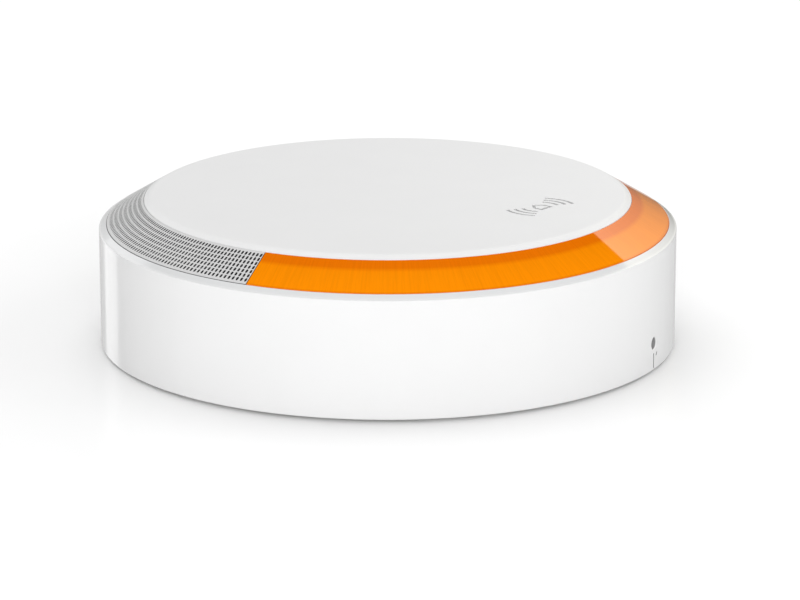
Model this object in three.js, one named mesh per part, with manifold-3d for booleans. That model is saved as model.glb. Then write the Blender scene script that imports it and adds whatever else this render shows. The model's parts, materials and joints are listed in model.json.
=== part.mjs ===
// A round, battery-powered smart home siren with a light band, 200 mm across and 52 mm deep.
// It hangs on a wall plate by a bayonet and is locked by a screw in its side.
// Units are millimetres. The origin is the centre of the wall plate's back face, +Z points out of
// the wall and -Y is the bottom of the hung object, where the lock screw is.
import * as THREE from 'three';
import { mergeVertices } from 'three/addons/utils/BufferGeometryUtils.js';
import Module from 'manifold-3d';

const wasm = await Module();
wasm.setup();

// ---------------------------------------------------------------- driving dimensions

const GAP = 0.3; // between pieces that touch or nearly touch
const RING_STEPS = 48; // facets of the large rings
const ROUND_STEPS = 16; // facets of small round pieces

const OUTER_R = 100; // outside of the housing skirt
const SKIRT_WALL = 2.4;
const SKIRT_FOOT_Z = 0.9; // the skirt stops short of the wall and leaves a shadow gap
const SHOULDER = { r: 99.43, z: 41.36 }; // outer edge of the skirt's lip
const BAND_OUTER = { r: 97.43, z: 42.9 }; // the sloping band of lens and grille
const BAND_INNER = { r: 84.33, z: 50.77 };
const FACE = { r: 82.2, z: 52.05 }; // flat front face, inside the cover's bevelled rim
const LENS_HALF_ANGLE = 92.7; // the lens covers this much each side of -Y, the grille the rest
const BOTTOM = -90; // direction of -Y in degrees
const TOP = 90;

const PLATE_R = 97;
const PLATE_Z = 2.4; // top of the wall plate
const LOCK_TURN = 15; // the head turns this far clockwise to lock
const LOCK_Z = 10.3; // height of the lock screw's axis

const CELL_R = 17.1; // D cell
const CELL_LENGTH = 61.5;
const CELL_Z = 24.8;
const CELL_ROWS = [0, -35.2]; // y of the two rows of two cells
const CELL_CLEARANCE = 0.4;

const SOUNDER_Y = 55;
const PLUNGER_Y = -66;
const BUTTON = { x: -26, y: -64.5 };

// heights of the head's inner levels
const BACK_Z = 3.2; // rear face of the head
const BACK_TOP_Z = 5.2;
const CHANNEL_ROOF = { low: 14, high: 15.6 };
const RIM_FLANGE = { low: 7.4, high: 9 };
const SHELF = { low: 36.2, high: 37.8 }; // chassis shelf under the band
const DECK = { low: 42.3, high: 43.5 }; // chassis deck over the cells
const BOARD = { low: 45.3, high: 46.9 };
const COVER_UNDER_Z = 49.6;

// ---------------------------------------------------------------- materials

function finish(color, roughness, metalness = 0) {
  return new THREE.MeshStandardMaterial({ color, roughness, metalness });
}

const whiteGloss = finish('#f7f7f6', 0.18);
const whiteSatin = finish('#eeeeed', 0.45);
const whiteMoulding = finish('#e4e4e0', 0.6);
const amber = finish('#fa9106', 0.15);
const grilleGrey = finish('#d6d6d5', 0.5);
const sealGrey = finish('#3c3e40', 0.85);
const meshBlack = finish('#26282a', 0.9);
const boardGreen = finish('#1f5a38', 0.5);
const ledYellow = finish('#f2dc7a', 0.3);
const chipBlack = finish('#232527', 0.5);
const steel = finish('#b9bcc0', 0.3, 1);
const brass = finish('#c9a25a', 0.35, 1);
const soundBlack = finish('#2b2d30', 0.55);
const cellJacket = finish('#4b565f', 0.35, 0.4);
const wireGrey = finish('#5b6066', 0.6);

// ---------------------------------------------------------------- shape helpers

const radians = THREE.MathUtils.degToRad;

// A closed geometry as a manifold solid with its faces pointing out.
function solid(geometry) {
  const bare = geometry.clone();
  bare.deleteAttribute('normal');
  bare.deleteAttribute('uv');
  const merged = mergeVertices(bare, 1e-4);
  const index = merged.index.array;
  const triVerts = [];
  for (let i = 0; i < index.length; i += 3) {
    const [a, b, c] = [index[i], index[i + 1], index[i + 2]];
    if (a !== b && b !== c && c !== a) {
      triVerts.push(a, b, c);
    }
  }
  const vertProperties = Float32Array.from(merged.attributes.position.array);
  const signed = signedVolume(vertProperties, triVerts);
  if (signed < 0) {
    triVerts.reverse();
  }
  const mesh = new wasm.Mesh({
    numProp: 3, vertProperties, triVerts: Uint32Array.from(triVerts),
  });
  return new wasm.Manifold(mesh);
}

function signedVolume(points, triangles) {
  const [a, b, c] = [new THREE.Vector3(), new THREE.Vector3(), new THREE.Vector3()];
  let sum = 0;
  for (let i = 0; i < triangles.length; i += 3) {
    a.fromArray(points, 3 * triangles[i]);
    b.fromArray(points, 3 * triangles[i + 1]);
    c.fromArray(points, 3 * triangles[i + 2]);
    sum += a.dot(b.cross(c));
  }
  return sum / 6;
}

// A manifold solid as a three.js geometry.
function geometryOf(body) {
  const mesh = body.getMesh();
  const geometry = new THREE.BufferGeometry();
  geometry.setAttribute('position', new THREE.BufferAttribute(mesh.vertProperties, 3));
  geometry.setIndex(new THREE.BufferAttribute(mesh.triVerts, 1));
  geometry.computeVertexNormals();
  return geometry;
}

// A profile of [radius, z] points turned about the Z axis.
function turned(profile, steps = RING_STEPS) {
  const points = profile.map(([r, z]) => new THREE.Vector2(r, z));
  return solid(new THREE.LatheGeometry(points, steps).rotateX(Math.PI / 2));
}

// A closed ring section turned about the Z axis.
function ring(section, steps = RING_STEPS) {
  return turned([...section, section[0]], steps);
}

function tube(inner, outer, low, high, steps = RING_STEPS) {
  return ring([[inner, low], [outer, low], [outer, high], [inner, high]], steps);
}

function disc(radius, low, high, steps = ROUND_STEPS) {
  return turned([[0, low], [radius, low], [radius, high], [0, high]], steps);
}

function extruded(shape, low, high, curveSegments = 12) {
  const options = { depth: high - low, bevelEnabled: false, curveSegments };
  return solid(new THREE.ExtrudeGeometry(shape, options).translate(0, 0, low));
}

// A ring sector between two radii, centred on a direction in degrees.
function sector(inner, outer, low, high, centre, halfWidth) {
  const [start, end] = [radians(centre - halfWidth), radians(centre + halfWidth)];
  const shape = new THREE.Shape();
  shape.absarc(0, 0, outer, start, end, false);
  shape.absarc(0, 0, inner, end, start, true);
  shape.closePath();
  const segments = Math.ceil(halfWidth / 6);
  return extruded(shape, low, high, segments);
}

// A box from its lowest to its highest corner.
function block([x0, y0, z0], [x1, y1, z1]) {
  const box = new THREE.BoxGeometry(x1 - x0, y1 - y0, z1 - z0);
  return solid(box.translate((x0 + x1) / 2, (y0 + y1) / 2, (z0 + z1) / 2));
}

// A hollow rectangle: everything between the outer box and the inner one, full height.
function frame(outer, inner, low, high) {
  const outside = block([outer.x0, outer.y0, low], [outer.x1, outer.y1, high]);
  return outside.subtract(block([inner.x0, inner.y0, low - 1], [inner.x1, inner.y1, high + 1]));
}

function grown(box, by) {
  return { x0: box.x0 - by, x1: box.x1 + by, y0: box.y0 - by, y1: box.y1 + by };
}

// A cylinder that lies along the radius at BOTTOM, between two radii.
function radialPin(radius, inner, outer, z, steps = 16) {
  const pin = new THREE.CylinderGeometry(radius, radius, outer - inner, steps);
  return solid(pin.translate(0, -(inner + outer) / 2, z));
}

function polar(radius, degrees) {
  return [radius * Math.cos(radians(degrees)), radius * Math.sin(radians(degrees))];
}

// A round wire or lead through points, with smooth bends.
function wire(points, radius, steps, sides = 8, tension = 0.5) {
  const path = new THREE.CatmullRomCurve3(
    points.map((p) => new THREE.Vector3(...p)), false, 'catmullrom', tension,
  );
  return sweep(path, radius, steps, sides);
}

function sweep(path, radius, steps, sides) {
  const section = new THREE.Shape();
  section.absarc(0, 0, radius, 0, 2 * Math.PI, false);
  const options = {
    steps, extrudePath: path, curveSegments: sides / 2, bevelEnabled: false,
  };
  return solid(new THREE.ExtrudeGeometry(section, options));
}

// A helix about a line along Z or X from one end to the other, narrowing by taper.
class Helix extends THREE.Curve {
  constructor({ centre, axis, radius, length, turns, taper = 0 }) {
    super();
    Object.assign(this, { centre, axis, radius, length, turns, taper });
  }

  getPoint(t, target = new THREE.Vector3()) {
    const angle = 2 * Math.PI * this.turns * t;
    const r = this.radius - this.taper * t;
    const [u, v, w] = [r * Math.cos(angle), r * Math.sin(angle), this.length * t];
    const [x, y, z] = this.centre;
    return this.axis === 'z' ? target.set(x + u, y + v, z + w) : target.set(x + w, y + u, z + v);
  }
}

const group = new THREE.Group();

function add(name, body, material) {
  const mesh = new THREE.Mesh(geometryOf(body), material);
  mesh.name = name;
  group.add(mesh);
  return mesh;
}

// ---------------------------------------------------------------- derived sizes

const INNER_R = OUTER_R - SKIRT_WALL;
const BAND_SLOPE = (BAND_INNER.z - BAND_OUTER.z) / (BAND_OUTER.r - BAND_INNER.r);
const BAND_EDGE = { inner: BAND_INNER.r + GAP, outer: BAND_OUTER.r - GAP };

function bandZ(radius) {
  return BAND_OUTER.z + (BAND_OUTER.r - radius) * BAND_SLOPE;
}

// ---------------------------------------------------------------- wall plate

const HOOK = { post: 84.2, postOuter: 86, reach: 89, under: 5.4, top: 7.2, halfWidth: 5 };
const HOOK_DIRECTIONS = [45, 135, 225, 315];
const TAB = { inner: 84.3, outer: 86, top: 13.5, halfWidth: 4.7 };
const SLOT_HALF_WIDTH = 4.4; // of the arc slot that the tamper plunger travels in

function wallScrewSlot(x, y, along) {
  const [halfWidth, halfLength] = [2.6, 5];
  const shape = new THREE.Shape();
  shape.absarc(halfLength - halfWidth, 0, halfWidth, -Math.PI / 2, Math.PI / 2, false);
  shape.absarc(halfWidth - halfLength, 0, halfWidth, Math.PI / 2, 1.5 * Math.PI, false);
  shape.closePath();
  return extruded(shape, -1, PLATE_Z + 1, 6).rotate([0, 0, along]).translate([x, y, 0]);
}

function mountingPlate() {
  let plate = turned([[0, 0], [PLATE_R - 0.6, 0], [PLATE_R, 0.6], [PLATE_R, PLATE_Z], [0, PLATE_Z]]);
  const root = PLATE_Z - 0.5;
  for (const direction of HOOK_DIRECTIONS) {
    plate = plate
      .add(sector(HOOK.post, HOOK.postOuter, root, HOOK.top, direction, HOOK.halfWidth))
      .add(sector(HOOK.post, HOOK.reach, HOOK.under, HOOK.top, direction, HOOK.halfWidth));
  }
  const lockDirection = BOTTOM - LOCK_TURN;
  plate = plate.add(sector(TAB.inner, TAB.outer, root, TAB.top, lockDirection, TAB.halfWidth));
  const tabHole = radialPin(2.4, TAB.inner - 3, TAB.outer + 3, LOCK_Z);
  plate = plate.subtract(tabHole.rotate([0, 0, -LOCK_TURN]));

  const slotReach = THREE.MathUtils.radToDeg(SLOT_HALF_WIDTH / -PLUNGER_Y);
  plate = plate.subtract(sector(
    -PLUNGER_Y - SLOT_HALF_WIDTH, -PLUNGER_Y + SLOT_HALF_WIDTH, -1, PLATE_Z + 1,
    BOTTOM - LOCK_TURN / 2, LOCK_TURN / 2 + slotReach,
  ));
  plate = plate.subtract(wallScrewSlot(60, 0, 0)).subtract(wallScrewSlot(-60, 0, 0));
  plate = plate.subtract(wallScrewSlot(0, 60, 90)).subtract(wallScrewSlot(38, -52, 90));
  return plate;
}

add('mounting_plate', mountingPlate(), whiteMoulding);

// ---------------------------------------------------------------- outer shells of the head

function housing() {
  const lipUnder = 1.9; // depth of the lip's inner edge
  const shell = ring([
    [INNER_R, SKIRT_FOOT_Z + 0.3], [INNER_R + 0.3, SKIRT_FOOT_Z], [OUTER_R - 0.4, SKIRT_FOOT_Z],
    [OUTER_R, SKIRT_FOOT_Z + 0.4], [OUTER_R, SHOULDER.z - 0.7], [SHOULDER.r, SHOULDER.z],
    [BAND_OUTER.r, BAND_OUTER.z], [BAND_OUTER.r, BAND_OUTER.z - lipUnder],
    [INNER_R, BAND_OUTER.z - lipUnder - 1.2],
  ]);
  const screwHole = radialPin(2.25, INNER_R - 2, OUTER_R + 2, LOCK_Z);
  const markDepth = 0.35;
  const mark = block([-0.25, -OUTER_R - 1, 0], [0.25, markDepth - OUTER_R, 6.8]);
  return shell.subtract(screwHole).subtract(mark);
}

function frontCover() {
  const skirt = { inner: 80.5, outer: 82.1, low: 46.2 };
  const cover = turned([
    [0, COVER_UNDER_Z], [skirt.inner, COVER_UNDER_Z], [skirt.inner, skirt.low],
    [skirt.outer, skirt.low], [skirt.outer, COVER_UNDER_Z], [BAND_INNER.r, COVER_UNDER_Z],
    [BAND_INNER.r, BAND_INNER.z], [FACE.r, FACE.z], [0, FACE.z],
  ]);
  // The skirt is open above the sounder, so that sound reaches the grille.
  return cover.subtract(sector(
    skirt.inner - 1, skirt.outer + 0.2, skirt.low - 1, COVER_UNDER_Z, TOP, 80,
  ));
}

const BAND_WALL = 1.5; // of the skirts under the band
const INNER_SKIRT_LOW = 46.8;
const BAND_CLEAR = { inner: 86.5, outer: 95.2 }; // the free width between those skirts

// The section that lens and grille share: a sloping face with an outer and a short inner skirt.
function bandSection(verticalThickness) {
  const { inner, outer } = BAND_EDGE;
  const [innerSkirt, outerSkirt] = [inner + BAND_WALL, outer - BAND_WALL];
  const foot = SHELF.high + GAP;
  return [
    [outer, foot], [outer, bandZ(outer)], [inner, bandZ(inner)], [inner, INNER_SKIRT_LOW],
    [innerSkirt, INNER_SKIRT_LOW], [innerSkirt, bandZ(innerSkirt) - verticalThickness],
    [outerSkirt, bandZ(outerSkirt) - verticalThickness], [outerSkirt, foot],
  ];
}

const BAND_SPLIT = THREE.MathUtils.radToDeg(GAP / 2 / BAND_EDGE.inner);

function lens() {
  const halfWidth = LENS_HALF_ANGLE - BAND_SPLIT;
  return ring(bandSection(2.5)).intersect(sector(60, 120, 30, 60, BOTTOM, halfWidth));
}

// Radial slots stand for the real grille's rows of small holes.
function grille() {
  const halfWidth = 180 - LENS_HALF_ANGLE - BAND_SPLIT;
  let body = ring(bandSection(2.3)).intersect(sector(60, 120, 30, 60, TOP, halfWidth));
  const slots = 42;
  const slot = block([BAND_CLEAR.inner, -1.2, 35], [BAND_CLEAR.outer, 1.2, 60]);
  const pitch = (2 * halfWidth) / (slots + 1);
  for (let i = 1; i <= slots; i += 1) {
    body = body.subtract(slot.rotate([0, 0, TOP - halfWidth + i * pitch]));
  }
  return body;
}

function acousticMembrane() {
  const { inner, outer } = BAND_CLEAR;
  const [top, bottom] = [2.3 + GAP, 2.9 + GAP];
  const cone = ring([
    [inner, bandZ(inner) - bottom], [outer, bandZ(outer) - bottom],
    [outer, bandZ(outer) - top], [inner, bandZ(inner) - top],
  ]);
  return cone.intersect(sector(60, 120, 30, 60, TOP, 180 - LENS_HALF_ANGLE - 1));
}

add('housing', housing(), whiteGloss);
add('front_cover', frontCover(), whiteSatin);
add('lens', lens(), amber);
add('grille', grille(), grilleGrey);
add('acoustic_membrane', acousticMembrane(), meshBlack);

// ---------------------------------------------------------------- rear shell

const STEP_WALL = { inner: 80.5, outer: 82 };
const COLLAR = { inner: 90, outer: 92 };
const LUG = { inner: 86.6, top: 5.1, halfWidth: 5 };
const BAY_WALL = 1.5;
const BAY = { // inside of the cell bay
  x0: -64.6, x1: 64.6,
  y0: CELL_ROWS[1] - CELL_R - CELL_CLEARANCE, y1: CELL_ROWS[0] + CELL_R + CELL_CLEARANCE,
};
const BAY_FLOOR_Z = 7.2;
const BAY_TOP_Z = 24;
const DOOR_RECESS = grown(BAY, -0.6); // the battery cover's flange lies in it
const DOOR_RECESS_Z = 6.2;
const DOOR_OPENING = grown(BAY, -7.9);
const DOOR_CORNER_R = 79.6; // the recess's corners follow the step wall
const COVER_SCREWS = [[45, 13.2], [-45, 13.2], [45, -48.4], [-45, -48.4]];
const HOUSING_SCREW_R = 86;
const HOUSING_SCREW_DIRECTIONS = [0, 60, 120, 180, 235, 305];
const SCREW_HOLE_R = 1.8;
const SWITCH_BOARD = { low: 13.6, high: 15.2 };

function rearShell() {
  let shell = ring([
    [STEP_WALL.inner - 2, BACK_Z], [STEP_WALL.outer, BACK_Z], [STEP_WALL.outer, CHANNEL_ROOF.low],
    [COLLAR.inner, CHANNEL_ROOF.low], [COLLAR.inner, BACK_Z], [COLLAR.outer, BACK_Z],
    [COLLAR.outer, RIM_FLANGE.low], [INNER_R - GAP, RIM_FLANGE.low],
    [INNER_R - GAP, RIM_FLANGE.high], [COLLAR.outer, RIM_FLANGE.high],
    [COLLAR.outer, CHANNEL_ROOF.high], [STEP_WALL.inner, CHANNEL_ROOF.high],
    [STEP_WALL.inner, BACK_TOP_Z], [STEP_WALL.inner - 2, BACK_TOP_Z],
  ]);
  shell = shell.add(disc(STEP_WALL.inner, BACK_Z, BACK_TOP_Z, RING_STEPS));

  // The cell bay: a thick floor with a recess and an opening for the battery cover.
  const outside = grown(BAY, BAY_WALL);
  const withinStep = disc(STEP_WALL.outer, BACK_Z, CHANNEL_ROOF.high, RING_STEPS);
  const floor = block([outside.x0, outside.y0, BACK_Z], [outside.x1, outside.y1, BAY_FLOOR_Z]);
  const lowWalls = frame(outside, BAY, BACK_Z, CHANNEL_ROOF.high);
  shell = shell.add(floor.add(lowWalls).intersect(withinStep));
  shell = shell.add(frame(outside, BAY, CHANNEL_ROOF.low + 0.5, BAY_TOP_Z));
  for (const [x, y] of COVER_SCREWS) {
    shell = shell.add(disc(2.6, BAY_FLOOR_Z - 0.5, 11).translate([x, y, 0]));
  }
  shell = shell.subtract(block(
    [DOOR_RECESS.x0, DOOR_RECESS.y0, BACK_Z - 1], [DOOR_RECESS.x1, DOOR_RECESS.y1, DOOR_RECESS_Z],
  ).intersect(disc(DOOR_CORNER_R, 0, 10, RING_STEPS)));
  shell = shell.subtract(block(
    [DOOR_OPENING.x0, DOOR_OPENING.y0, BACK_Z - 1], [DOOR_OPENING.x1, DOOR_OPENING.y1, 8],
  ));
  for (const [x, y] of COVER_SCREWS) {
    shell = shell.subtract(disc(1.5, BACK_Z - 1, 12, 10).translate([x, y, 0]));
  }

  // Bayonet lugs, beside the wall plate's hooks while the head is unlocked.
  for (const direction of HOOK_DIRECTIONS) {
    shell = shell.add(sector(
      LUG.inner, COLLAR.inner + 0.8, BACK_Z, LUG.top, direction + LOCK_TURN, LUG.halfWidth,
    ));
  }

  // Boss of the lock screw, and the posts of the switch board.
  shell = shell.add(block(
    [-5, -INNER_R + 0.8, RIM_FLANGE.low], [5, -COLLAR.inner + 1.8, CHANNEL_ROOF.high],
  ));
  shell = shell.subtract(radialPin(2.3, COLLAR.inner - 4, OUTER_R, LOCK_Z));
  for (const x of [-34, -13, 9.6]) {
    shell = shell.add(disc(2, BACK_TOP_Z - 0.5, SWITCH_BOARD.low - GAP, 16).translate([x, -64.5, 0]));
  }

  // Holes for the tamper plunger, the pairing button and the screws.
  shell = shell.subtract(disc(3.6, BACK_Z - 1, BACK_TOP_Z + 1).translate([0, PLUNGER_Y, 0]));
  shell = shell.subtract(disc(4.4, BACK_Z - 1, BACK_TOP_Z + 1).translate([BUTTON.x, BUTTON.y, 0]));
  for (const direction of HOUSING_SCREW_DIRECTIONS) {
    const [x, y] = polar(HOUSING_SCREW_R, direction);
    shell = shell.subtract(disc(SCREW_HOLE_R, 10, 20, 10).translate([x, y, 0]));
  }
  return shell;
}

add('rear_shell', rearShell(), whiteMoulding);

add('rear_gasket', tube(92.5, 96.8, PLATE_Z + GAP, RIM_FLANGE.low - GAP), sealGrey);

// ---------------------------------------------------------------- battery cover, seal and screws

const COVER_FLANGE_TOP = 4.8;

function batteryCover() {
  const flange = grown(DOOR_RECESS, -GAP);
  const tongue = grown(DOOR_OPENING, -GAP);
  let cover = block([flange.x0, flange.y0, BACK_Z], [flange.x1, flange.y1, COVER_FLANGE_TOP]);
  cover = cover.add(block([tongue.x0, tongue.y0, COVER_FLANGE_TOP - 0.5], [tongue.x1, tongue.y1, 7]));
  cover = cover.subtract(block([-24, -20.6, BACK_Z - 1], [24, -14.6, BACK_Z + 0.8])); // finger grip
  for (const [x, y] of COVER_SCREWS) {
    cover = cover.subtract(disc(2.6, BACK_Z - 1, 4.3, 12).translate([x, y, 0]));
    cover = cover.subtract(disc(1.5, BACK_Z, 8, 12).translate([x, y, 0]));
  }
  return cover.intersect(disc(DOOR_CORNER_R - GAP, 0, 10, RING_STEPS));
}

add('battery_cover', batteryCover(), whiteMoulding);

add('battery_seal', frame(
  grown(DOOR_OPENING, 2), grown(DOOR_OPENING, GAP), COVER_FLANGE_TOP + GAP, DOOR_RECESS_Z - GAP,
), sealGrey);

COVER_SCREWS.forEach(([x, y], i) => {
  const screw = turned([[0, BACK_Z], [2.2, BACK_Z], [2.2, 4], [1.2, 4], [1.2, 10.5], [0, 10.5]], 12);
  add(`cover_screw_${i + 1}`, screw, steel).position.set(x, y, 0);
});

HOUSING_SCREW_DIRECTIONS.forEach((direction, i) => {
  const headTop = CHANNEL_ROOF.low - GAP;
  const screw = turned([
    [0, headTop - 2.2], [2.8, headTop - 2.2], [2.8, headTop], [1.5, headTop], [1.5, 25], [0, 25],
  ], 12);
  const [x, y] = polar(HOUSING_SCREW_R, direction);
  add(`housing_screw_${i + 1}`, screw, steel).position.set(x, y, 0);
});

// ---------------------------------------------------------------- chassis

const UPSTAND = { inner: 82.5, outer: 84.1, top: 49.2 };
const BOARD_R = 78;
const BOARD_EDGE_Y = 20;
const BOARD_POSTS = [[-62, -30], [62, -30], [-50, 12], [50, 12], [0, -70]];
const LEAD_HOLES = [[-31, 26], [-71, 0], [-38, -66]];

function chassis() {
  let body = ring([
    [UPSTAND.inner, SHELF.low], [INNER_R - GAP, SHELF.low], [INNER_R - GAP, SHELF.high],
    [UPSTAND.outer, SHELF.high], [UPSTAND.outer, UPSTAND.top], [UPSTAND.inner, UPSTAND.top],
  ]);
  body = body.add(disc(UPSTAND.inner + 0.5, DECK.low, DECK.high, RING_STEPS));
  for (const direction of HOUSING_SCREW_DIRECTIONS) {
    const [x, y] = polar(HOUSING_SCREW_R, direction);
    body = body.add(disc(3.5, CHANNEL_ROOF.high + GAP, SHELF.low + 0.5).translate([x, y, 0]));
    body = body.subtract(disc(SCREW_HOLE_R, 10, 27, 10).translate([x, y, 0]));
  }
  for (const [x, y] of BOARD_POSTS) {
    body = body.add(disc(2.6, DECK.high - 0.5, BOARD.low - GAP, 10).translate([x, y, 0]));
    body = body.add(disc(1.2, BOARD.low - 1, BOARD.high + 0.8, 8).translate([x, y, 0]));
  }
  body = body.subtract(disc(22, DECK.low - 1, DECK.high + 1, 36).translate([0, SOUNDER_Y, 0]));
  for (const [x, y] of LEAD_HOLES) {
    body = body.subtract(disc(2.5, DECK.low - 1, DECK.high + 1, 10).translate([x, y, 0]));
  }
  // Windows in the upstand let sound through to the grille.
  const windows = 10;
  for (let i = 0; i < windows; i += 1) {
    const direction = 18 + (i * 144) / (windows - 1);
    body = body.subtract(sector(
      UPSTAND.inner - 1, UPSTAND.outer + 1, DECK.high + 0.6, UPSTAND.top - 1, direction, 6,
    ));
  }
  return body;
}

add('chassis', chassis(), whiteMoulding);

// ---------------------------------------------------------------- light: board, LEDs, reflector

const LED_R = 90.2;
const LED_COUNT = 8;
const LED_SPREAD = 160; // degrees from the first LED to the last
const LED_BOARD_Z = SHELF.high + GAP;
const LED_SIZE = 5;
const LED_BASE_Z = LED_BOARD_Z + 1.6 + GAP;

function ledDirection(i) {
  return BOTTOM - LED_SPREAD / 2 + (i * LED_SPREAD) / (LED_COUNT - 1);
}

function reflector() {
  const low = LED_BASE_Z;
  let tray = ring([
    [86.4, low], [94.2, low], [94.2, 41.2], [93.2, 40.8], [88.6, 40.8], [87.3, 46.1], [86.4, 46.1],
  ]).intersect(sector(60, 120, 30, 60, BOTTOM, 89));
  const half = LED_SIZE / 2 + 0.4;
  const window = block([LED_R - half, -half, 35], [LED_R + half - 0.2, half, 45]);
  for (let i = 0; i < LED_COUNT; i += 1) {
    tray = tray.subtract(window.rotate([0, 0, ledDirection(i)]));
  }
  return tray;
}

add('led_board', sector(86.3, 94.2, LED_BOARD_Z, LED_BOARD_Z + 1.6, BOTTOM, 89), boardGreen);
add('reflector', reflector(), whiteSatin);

for (let i = 0; i < LED_COUNT; i += 1) {
  const led = new THREE.BoxGeometry(LED_SIZE, LED_SIZE, 1.6);
  const holder = new THREE.Group();
  holder.rotation.z = radians(ledDirection(i));
  const mesh = new THREE.Mesh(led, ledYellow);
  mesh.name = `led_${i + 1}`;
  mesh.position.set(LED_R, 0, LED_BASE_Z + 0.8);
  holder.add(mesh);
  group.add(holder);
}

// ---------------------------------------------------------------- electronics

function mainBoard() {
  const edge = Math.asin(BOARD_EDGE_Y / BOARD_R);
  const outline = new THREE.Shape();
  outline.absarc(0, 0, BOARD_R, Math.PI - edge, 2 * Math.PI + edge, false);
  outline.closePath();
  let board = extruded(outline, BOARD.low, BOARD.high, 18);
  for (const [x, y] of BOARD_POSTS) {
    board = board.subtract(disc(1.6, BOARD.low - 1, BOARD.high + 1, 8).translate([x, y, 0]));
  }
  return board;
}

add('main_board', mainBoard(), boardGreen);

const chipFoot = BOARD.high + GAP;
add('radio_module', block([-44, -44, chipFoot], [-24, -28, chipFoot + 2]), steel);
add('controller_chip', block([-6, -12, chipFoot], [6, 0, chipFoot + 1.4]), chipBlack);
add('driver_coil', block([26, -14, chipFoot], [36, -4, chipFoot + 2]), chipBlack);

add('antenna', sweep(new Helix({
  centre: [-30, -61, chipFoot + 1.1], axis: 'x', radius: 0.8, length: 34, turns: 9,
}), 0.25, 54, 4), brass);

// ---------------------------------------------------------------- sounder

function onSounder(body) {
  return body.translate([0, SOUNDER_Y, 0]);
}

const SOUNDER = { r: 25, wall: 2, floor: 16, flangeR: 27 };

add('sounder_body', onSounder(ring([
  [14, SOUNDER.floor], [SOUNDER.r, SOUNDER.floor], [SOUNDER.r, 40.2], [SOUNDER.flangeR, 40.2],
  [SOUNDER.flangeR, DECK.low - GAP], [SOUNDER.r - SOUNDER.wall, DECK.low - GAP],
  [SOUNDER.r - SOUNDER.wall, SOUNDER.floor + 2], [14, SOUNDER.floor + 2],
], 24)), soundBlack);

add('sounder_magnet', onSounder(disc(17, SOUNDER.floor + 2 + GAP, 26, 24)), steel);

add('sounder_diaphragm', onSounder(turned([
  [0, 29], [10, 28.4], [14, 27], [22.6, 27], [22.6, 27.5], [14.2, 27.5], [10.2, 28.9], [0, 29.5],
], 24)), brass);

add('sounder_horn', onSounder(ring([
  [22.6, 27.8], [22.6, DECK.low - GAP], [21.4, DECK.low - GAP], [17, 38], [13, 34], [11.5, 30.2],
  [18, 27.8],
], 24)), soundBlack);

// ---------------------------------------------------------------- cells and contacts

function cell(positiveEnd) {
  const half = CELL_LENGTH / 2;
  const body = turned([
    [0, -half], [CELL_R - 1.2, -half], [CELL_R, 0.8 - half], [CELL_R, half - 2.4],
    [CELL_R - 1.2, half - 1.6], [4.6, half - 1.6], [4.6, half], [0, half],
  ], 20);
  return body.rotate([0, positiveEnd * 90, 0]);
}

const CELL_X = CELL_LENGTH / 2 + GAP / 2;
let cellNumber = 0;
CELL_ROWS.forEach((y, row) => {
  const positiveEnd = row === 0 ? 1 : -1;
  for (const side of [-1, 1]) {
    cellNumber += 1;
    const mesh = add(`cell_${cellNumber}`, cell(positiveEnd), cellJacket);
    mesh.position.set(side * CELL_X, y, CELL_Z);
  }
  const end = CELL_X + CELL_LENGTH / 2;
  const room = BAY.x1 - GAP - (end + GAP);
  const spring = new Helix({
    centre: [end + GAP + 0.4, 0, 0], axis: 'x', radius: 7, length: room - 0.8, turns: 2, taper: 3,
  });
  const negative = add(`contact_spring_${row + 1}`, sweep(spring, 0.4, 24, 4), steel);
  negative.rotation.z = positiveEnd === 1 ? Math.PI : 0;
  negative.position.set(0, y, CELL_Z);
  const plate = block([end + GAP + 0.6, -7, -7], [BAY.x1 - GAP, 7, 7]);
  const bump = disc(3, 0, 0.8, 12).rotate([0, 90, 0]).translate([end + GAP, 0, 0]);
  const positive = add(`contact_plate_${row + 1}`, plate.add(bump), steel);
  positive.rotation.z = positiveEnd === 1 ? 0 : Math.PI;
  positive.position.set(0, y, CELL_Z);
});

// ---------------------------------------------------------------- tamper switch, button, lock

add('switch_board', block(
  [-37, -71, SWITCH_BOARD.low], [12, -58.5, SWITCH_BOARD.high],
).subtract(disc(2.2, 10, 20, 16).translate([0, PLUNGER_Y, 0])), boardGreen);

add('tamper_switch', block(
  [-6.4, PLUNGER_Y - 3, SWITCH_BOARD.high + GAP], [6.4, PLUNGER_Y + 3, 20.5],
), chipBlack);

add('tamper_plunger', turned([
  [0, GAP], [2.4, GAP], [3.2, 1.1], [3.2, 5.6], [4.6, 5.6], [4.6, 7], [1.6, 7], [1.6, 12.7], [0, 12.7],
], 16), sealGrey).position.set(0, PLUNGER_Y, 0);

const springWire = 0.3;
add('tamper_spring', sweep(new Helix({
  centre: [0, 0, 7 + GAP + springWire], axis: 'z', radius: 3,
  length: SWITCH_BOARD.low - GAP - 7 - GAP - 2 * springWire, turns: 4,
}), springWire, 36, 4), steel).position.set(0, PLUNGER_Y, 0);

add('pairing_button', turned([
  [0, 3.5], [4, 3.5], [4, 5.6], [5, 5.6], [5, 6.8], [2, 6.8], [2, 11], [0, 11],
], 16), whiteGloss).position.set(BUTTON.x, BUTTON.y, 0);

add('pairing_switch', block(
  [BUTTON.x - 3, BUTTON.y - 3, 12.3], [BUTTON.x + 3, BUTTON.y + 3, SWITCH_BOARD.low - GAP],
), chipBlack);

const LOCK_SCREW = { r: 2, tip: 87.5, end: 95.5 };

function lockScrew() {
  const body = radialPin(LOCK_SCREW.r, LOCK_SCREW.tip, LOCK_SCREW.end, LOCK_Z);
  const socket = radialPin(1, LOCK_SCREW.end - 2, LOCK_SCREW.end + 1, LOCK_Z, 6);
  return body.subtract(socket);
}

add('lock_screw', lockScrew(), steel);

// ---------------------------------------------------------------- leads

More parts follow.
